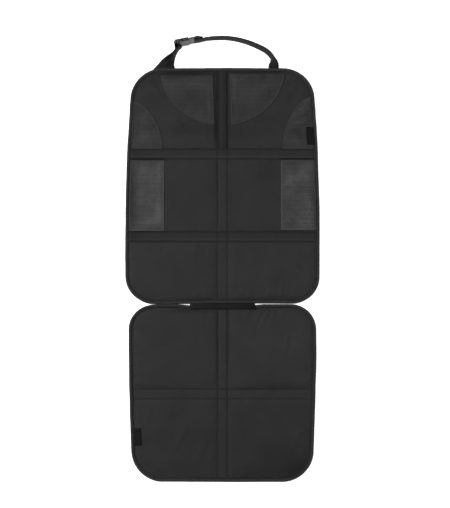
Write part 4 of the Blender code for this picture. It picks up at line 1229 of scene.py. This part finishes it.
LONG_STRAP = (
    (0.1225, -0.0060, 0, 0.0017), (0.1225, 0.0020, 0, 0.0017), (0.1228, 0.0085, 20, 0.0014),
    (0.1226, 0.0140, 41, 0.0008), (0.1200, 0.0226, 65, 0.0003), (0.1166, 0.0280, 66, 0),
    (0.1092, 0.0362, 65, 0), (0.0956, 0.0452, 65, 0), (0.0672, 0.0579, 67, 0), (0.0384, 0.0665, 69, 0.0004),
    (0.0096, 0.0707, 71, 0.0012), (-0.0192, 0.0702, 72, 0.0026), (-0.0400, 0.0680, 74, 0.0042),
)
OUTER_LEG = (
    (-0.1740, -0.0300, 0, 0.0011), (-0.1465, 0.0000, 0, 0.0011), (-0.1385, 0.0089, 6, 0.0011),
    (-0.1345, 0.0137, 24, 0.0010), (-0.1306, 0.0185, 40, 0.0013), (-0.1269, 0.0233, 54, 0.0018),
    (-0.1221, 0.0280, 64, 0.0024), (-0.1172, 0.0329, 70, 0.0031), (-0.1129, 0.0377, 72, 0.0038),
    (-0.1099, 0.0430, 73, 0.0044), (-0.1104, 0.0500, 74, 0.0048),
)
INNER_LEG = (
    (-0.1034, 0.0530, 74, 0.0050), (-0.1008, 0.0506, 74, 0.0050), (-0.1034, 0.0472, 74, 0.0058),
    (-0.1074, 0.0430, 74, 0.0064), (-0.1111, 0.0377, 73, 0.0054), (-0.1142, 0.0329, 71, 0.0041),
    (-0.1169, 0.0280, 68, 0.0030), (-0.1191, 0.0233, 63, 0.0025), (-0.1216, 0.0185, 54, 0.0022),
    (-0.1239, 0.0137, 42, 0.0022), (-0.1264, 0.0089, 25, 0.0022), (-0.1275, 0.0020, 0, 0.0023),
    (-0.1275, -0.0055, 0, 0.0023),
)


def smooth_knots(knots, steps):
    """A smooth curve through the knots, with so many steps from each to the next."""
    knots = np.array(knots)
    last, found = len(knots) - 1, []
    for index in range(last):
        p, q, r, s = (knots[min(max(index + shift, 0), last)] for shift in (-1, 0, 1, 2))
        for t in np.arange(steps) / steps:
            bend = (2 * p - 5 * q + 4 * r - s) * t**2 + (3 * q - p - 3 * r + s) * t**3
            found.append(0.5 * (2 * q + (r - p) * t + bend))
    return found + [knots[-1]]


def leg(knots, outward_turn):
    """Middles and width directions of webbing along its knots, as high as it stands when rolled on its edge."""
    points = []
    for x, up, roll, lift in smooth_knots(knots, 8):
        turn = math.radians(roll)
        height = WEB_WIDTH / 2 * math.sin(turn) + WEB_THICKNESS / 2 * math.cos(turn) + GAP
        points.append((Vector((x, back.head + up, height + lift)), turn))
    stations = []
    for index, (middle, turn) in enumerate(points):
        ahead = points[min(index + 1, len(points) - 1)][0] - points[max(index - 1, 0)][0]
        outward = Vector((ahead.y, -ahead.x, 0)).normalized() * outward_turn
        stations.append((middle, outward * math.cos(turn) + Vector((0, 0, math.sin(turn)))))
    return stations


# The buckle: turn and lean in degrees, width and thickness, place from the head edge, and sections of its bars.
# Then where its grip ribs are along it, and the size of each.
BUCKLE_TURN, BUCKLE_LEAN = 10.6, 16
BUCKLE_WIDTH, BUCKLE_THICKNESS = 0.033, 0.009
BUCKLE_PLACE = (-0.0797, 0.0634)
SOCKET_BAR, PLUG_BAR = (0.0034, 0.0034), (0.0034, 0.0042)
GRIP_PLACES = (-0.0240, -0.0210, -0.0180, -0.0048, -0.0020)
GRIP_SIZE = (0.0014, 0.0082, 0.0016)


def buckle_frame():
    """The buckle's place and directions: along it, through its thickness and across its width."""
    turn, lean = math.radians(BUCKLE_TURN), math.radians(BUCKLE_LEAN)
    along = Vector((math.cos(turn), math.sin(turn), 0))
    outward, up = Vector((-math.sin(turn), math.cos(turn), 0)), Vector((0, 0, 1))
    across = outward * math.sin(lean) + up * math.cos(lean)
    through = outward * math.cos(lean) - up * math.sin(lean)
    matrix = Matrix((along, through, across)).transposed().to_4x4()
    height = (BUCKLE_WIDTH * math.cos(lean) + BUCKLE_THICKNESS * math.sin(lean)) / 2
    matrix.translation = (BUCKLE_PLACE[0], back.head + BUCKLE_PLACE[1], height + GAP)
    return matrix


def turn_radius(bar):
    """How far from the middle of a bar the middle of the webbing turns round it."""
    return math.hypot(*bar) / 2 + GAP + WEB_THICKNESS / 2


def wrap_stations(matrix, bar_x, radius, angles):
    """The webbing's turn round a bar, between two angles in degrees."""
    across = matrix.to_3x3() @ Vector((0, 0, 1))
    turns = np.radians(np.linspace(*angles, 17))
    return [(matrix @ Vector((bar_x + radius * math.cos(t), radius * math.sin(t), 0)), across) for t in turns]


def cut_below(obj, y):
    """Cuts a piece off square below a line and closes the cut."""
    with editing(obj.data) as bm:
        everything = bm.verts[:] + bm.edges[:] + bm.faces[:]
        bmesh.ops.bisect_plane(bm, geom=everything, plane_co=(0, y, 0), plane_no=(0, -1, 0), clear_outer=True)
        bmesh.ops.holes_fill(bm, edges=[edge for edge in bm.edges if edge.is_boundary])


def add_straps():
    """The short webbing with both ends in the head's edge, and the long one with a tail at the plug."""
    matrix = buckle_frame()
    turn = wrap_stations(matrix, -0.034 + SOCKET_BAR[0] / 2, turn_radius(SOCKET_BAR), (176, -18))
    places, across = zip(*(leg(OUTER_LEG, -1) + turn + leg(INNER_LEG, 1)))
    short = add_tape("short_webbing", places, across, WEB_WIDTH, WEB_THICKNESS, FINISHES["short_webbing"])
    cut_below(short, back.head - WEB_TUCK)
    seat(short, "webbing", "strap_loop")

    bar = turn_radius(PLUG_BAR)
    turn = wrap_stations(matrix, 0.0135 + bar / 2, bar, (270, 90))
    tail = (
        (0.0190, bar * 1.35), (0.0212, bar * 1.30), (0.0238, bar * 1.02), (0.0268, bar * 0.62),
        (0.0300, bar * 0.28), (0.0335, 0.0002),
    )
    run_in, *tail = [(matrix @ Vector((x, y, 0)), turn[0][1]) for x, y in ((0.027, -bar), *tail)]
    places, across = zip(*(leg(LONG_STRAP, 1) + [run_in] + turn + tail))
    long = add_tape("long_webbing", places, across, WEB_WIDTH, WEB_THICKNESS, FINISHES["long_webbing"])
    seat(long, "webbing", "strap_long")


def add_moulding(name, mesh, radius):
    """A piece of the buckle with its sharp corners rounded."""
    mesh.materials.clear()
    mesh.materials.append(FINISHES["buckle"])
    mesh.shade_smooth()
    obj = link_new(name, mesh)
    soft = obj.modifiers.new("rounded", "BEVEL")
    soft.width, soft.segments, soft.limit_method, soft.angle_limit = radius, 3, "ANGLE", math.radians(30)
    return obj


def add_buckle():
    """The buckle's two moulded halves, and the ribs that fingers grip."""
    for node in ("buckle_socket", "buckle_plug"):
        mesh = bpy.data.meshes.new(node + "_moulding")
        with editing(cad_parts[node].data, mesh) as bm:
            bmesh.ops.remove_doubles(bm, verts=bm.verts[:], dist=1e-6)
            bmesh.ops.dissolve_limit(bm, angle_limit=0.05, verts=bm.verts[:], edges=bm.edges[:])
        obj = add_moulding(node + "_moulding", mesh, 0.00045)
        obj.modifiers.new("normals", "WEIGHTED_NORMAL").keep_sharp = True
        seat(obj, "buckle", node)
    grips = bpy.data.meshes.new("buckle_grips")
    matrix = buckle_frame()
    with editing(grips) as bm:
        for x in GRIP_PLACES:
            for side in (-1, 1):
                made = bmesh.ops.create_cube(bm, size=1.0)["verts"]
                shape = Matrix.Translation((x, 0.0, side * 0.0164)) @ Matrix.Diagonal((*GRIP_SIZE, 1.0))
                bmesh.ops.transform(bm, matrix=matrix @ shape, verts=made)
    seat(add_moulding("buckle_grips", grips, 0.0005), "buckle")


add_nets()
add_bands()


def add_crossing_stitches():
    """The middle seams' thread where it runs on over the two cross tapes."""
    rows = []
    for band in back.bands:
        for x in (-BAND_HALF, BAND_HALF):
            places = [(x, y, SEWN_HEIGHT + 0.0022) for y in np.arange(band - 0.0105, band + 0.0108, 0.001)]
            rows.append(stitch_row(places, 0.0024, 0.00045))
    add_threads("crossing_stitches", rows)


add_crossing_stitches()
add_label("back_tag", back, 1, back.head - 0.163, back_surface, 0.0030, "backrest_label")
add_label("seat_tag", seat_panel, -1, seat_panel.head - 0.3175, seat_surface, 0.0005, "seat_label")
add_strip()
add_straps()
add_buckle()


# Studio


def add_floor():
    """A wide pale floor just under the mat."""
    material, _, shader = new_material("pale_floor", 0.1)
    shader.inputs["Base Color"].default_value = (0.86, 0.86, 0.86, 1)
    shader.inputs["Roughness"].default_value = 0.9
    shader.inputs["Emission Color"].default_value = (1, 1, 1, 1)
    shader.inputs["Emission Strength"].default_value = 0.6
    corners = [(-30, -30, 0), (30, -30, 0), (30, 30, 0), (-30, 30, 0)]
    floor = add_mesh("floor", corners, [(0, 1, 2, 3)], material, smooth=False)
    floor.location.z = -0.0004


def add_light(name, place, size, power):
    """A round soft light that faces the mat."""
    lamp = bpy.data.lights.new(name, "AREA")
    lamp.shape, lamp.size, lamp.energy = "DISK", size, power
    obj = link_new(name, lamp)
    obj.location = place
    obj.rotation_euler = (-Vector(place)).to_track_quat("-Z", "Y").to_euler()


def add_camera():
    """Straight above, with a long lens, so that a pixel is as many millimetres as in the photograph."""
    distance = 5.0
    camera = bpy.data.cameras.new("camera")
    camera.sensor_width = 36
    camera.lens = camera.sensor_width * distance * 1000 / (IMAGE_SIZE[1] * MM_PER_PIXEL)
    camera.clip_end = 100
    obj = link_new("camera", camera)
    obj.location = (*at_pixel(IMAGE_SIZE[0] / 2, IMAGE_SIZE[1] / 2), distance)
    bpy.context.scene.camera = obj


add_floor()
add_light("softbox", (-2.5, 1.1, 2.2), 1.7, 150)
add_light("fill", (2.2, -1.0, 2.6), 2.4, 42)
add_camera()
world = bpy.data.worlds.new("studio")
world.use_nodes = True
world.node_tree.nodes["Background"].inputs["Color"].default_value = (1, 1, 1, 1)
world.node_tree.nodes["Background"].inputs["Strength"].default_value = 0.55
bpy.context.scene.world = world
bpy.context.scene.view_settings.view_transform = "Standard"
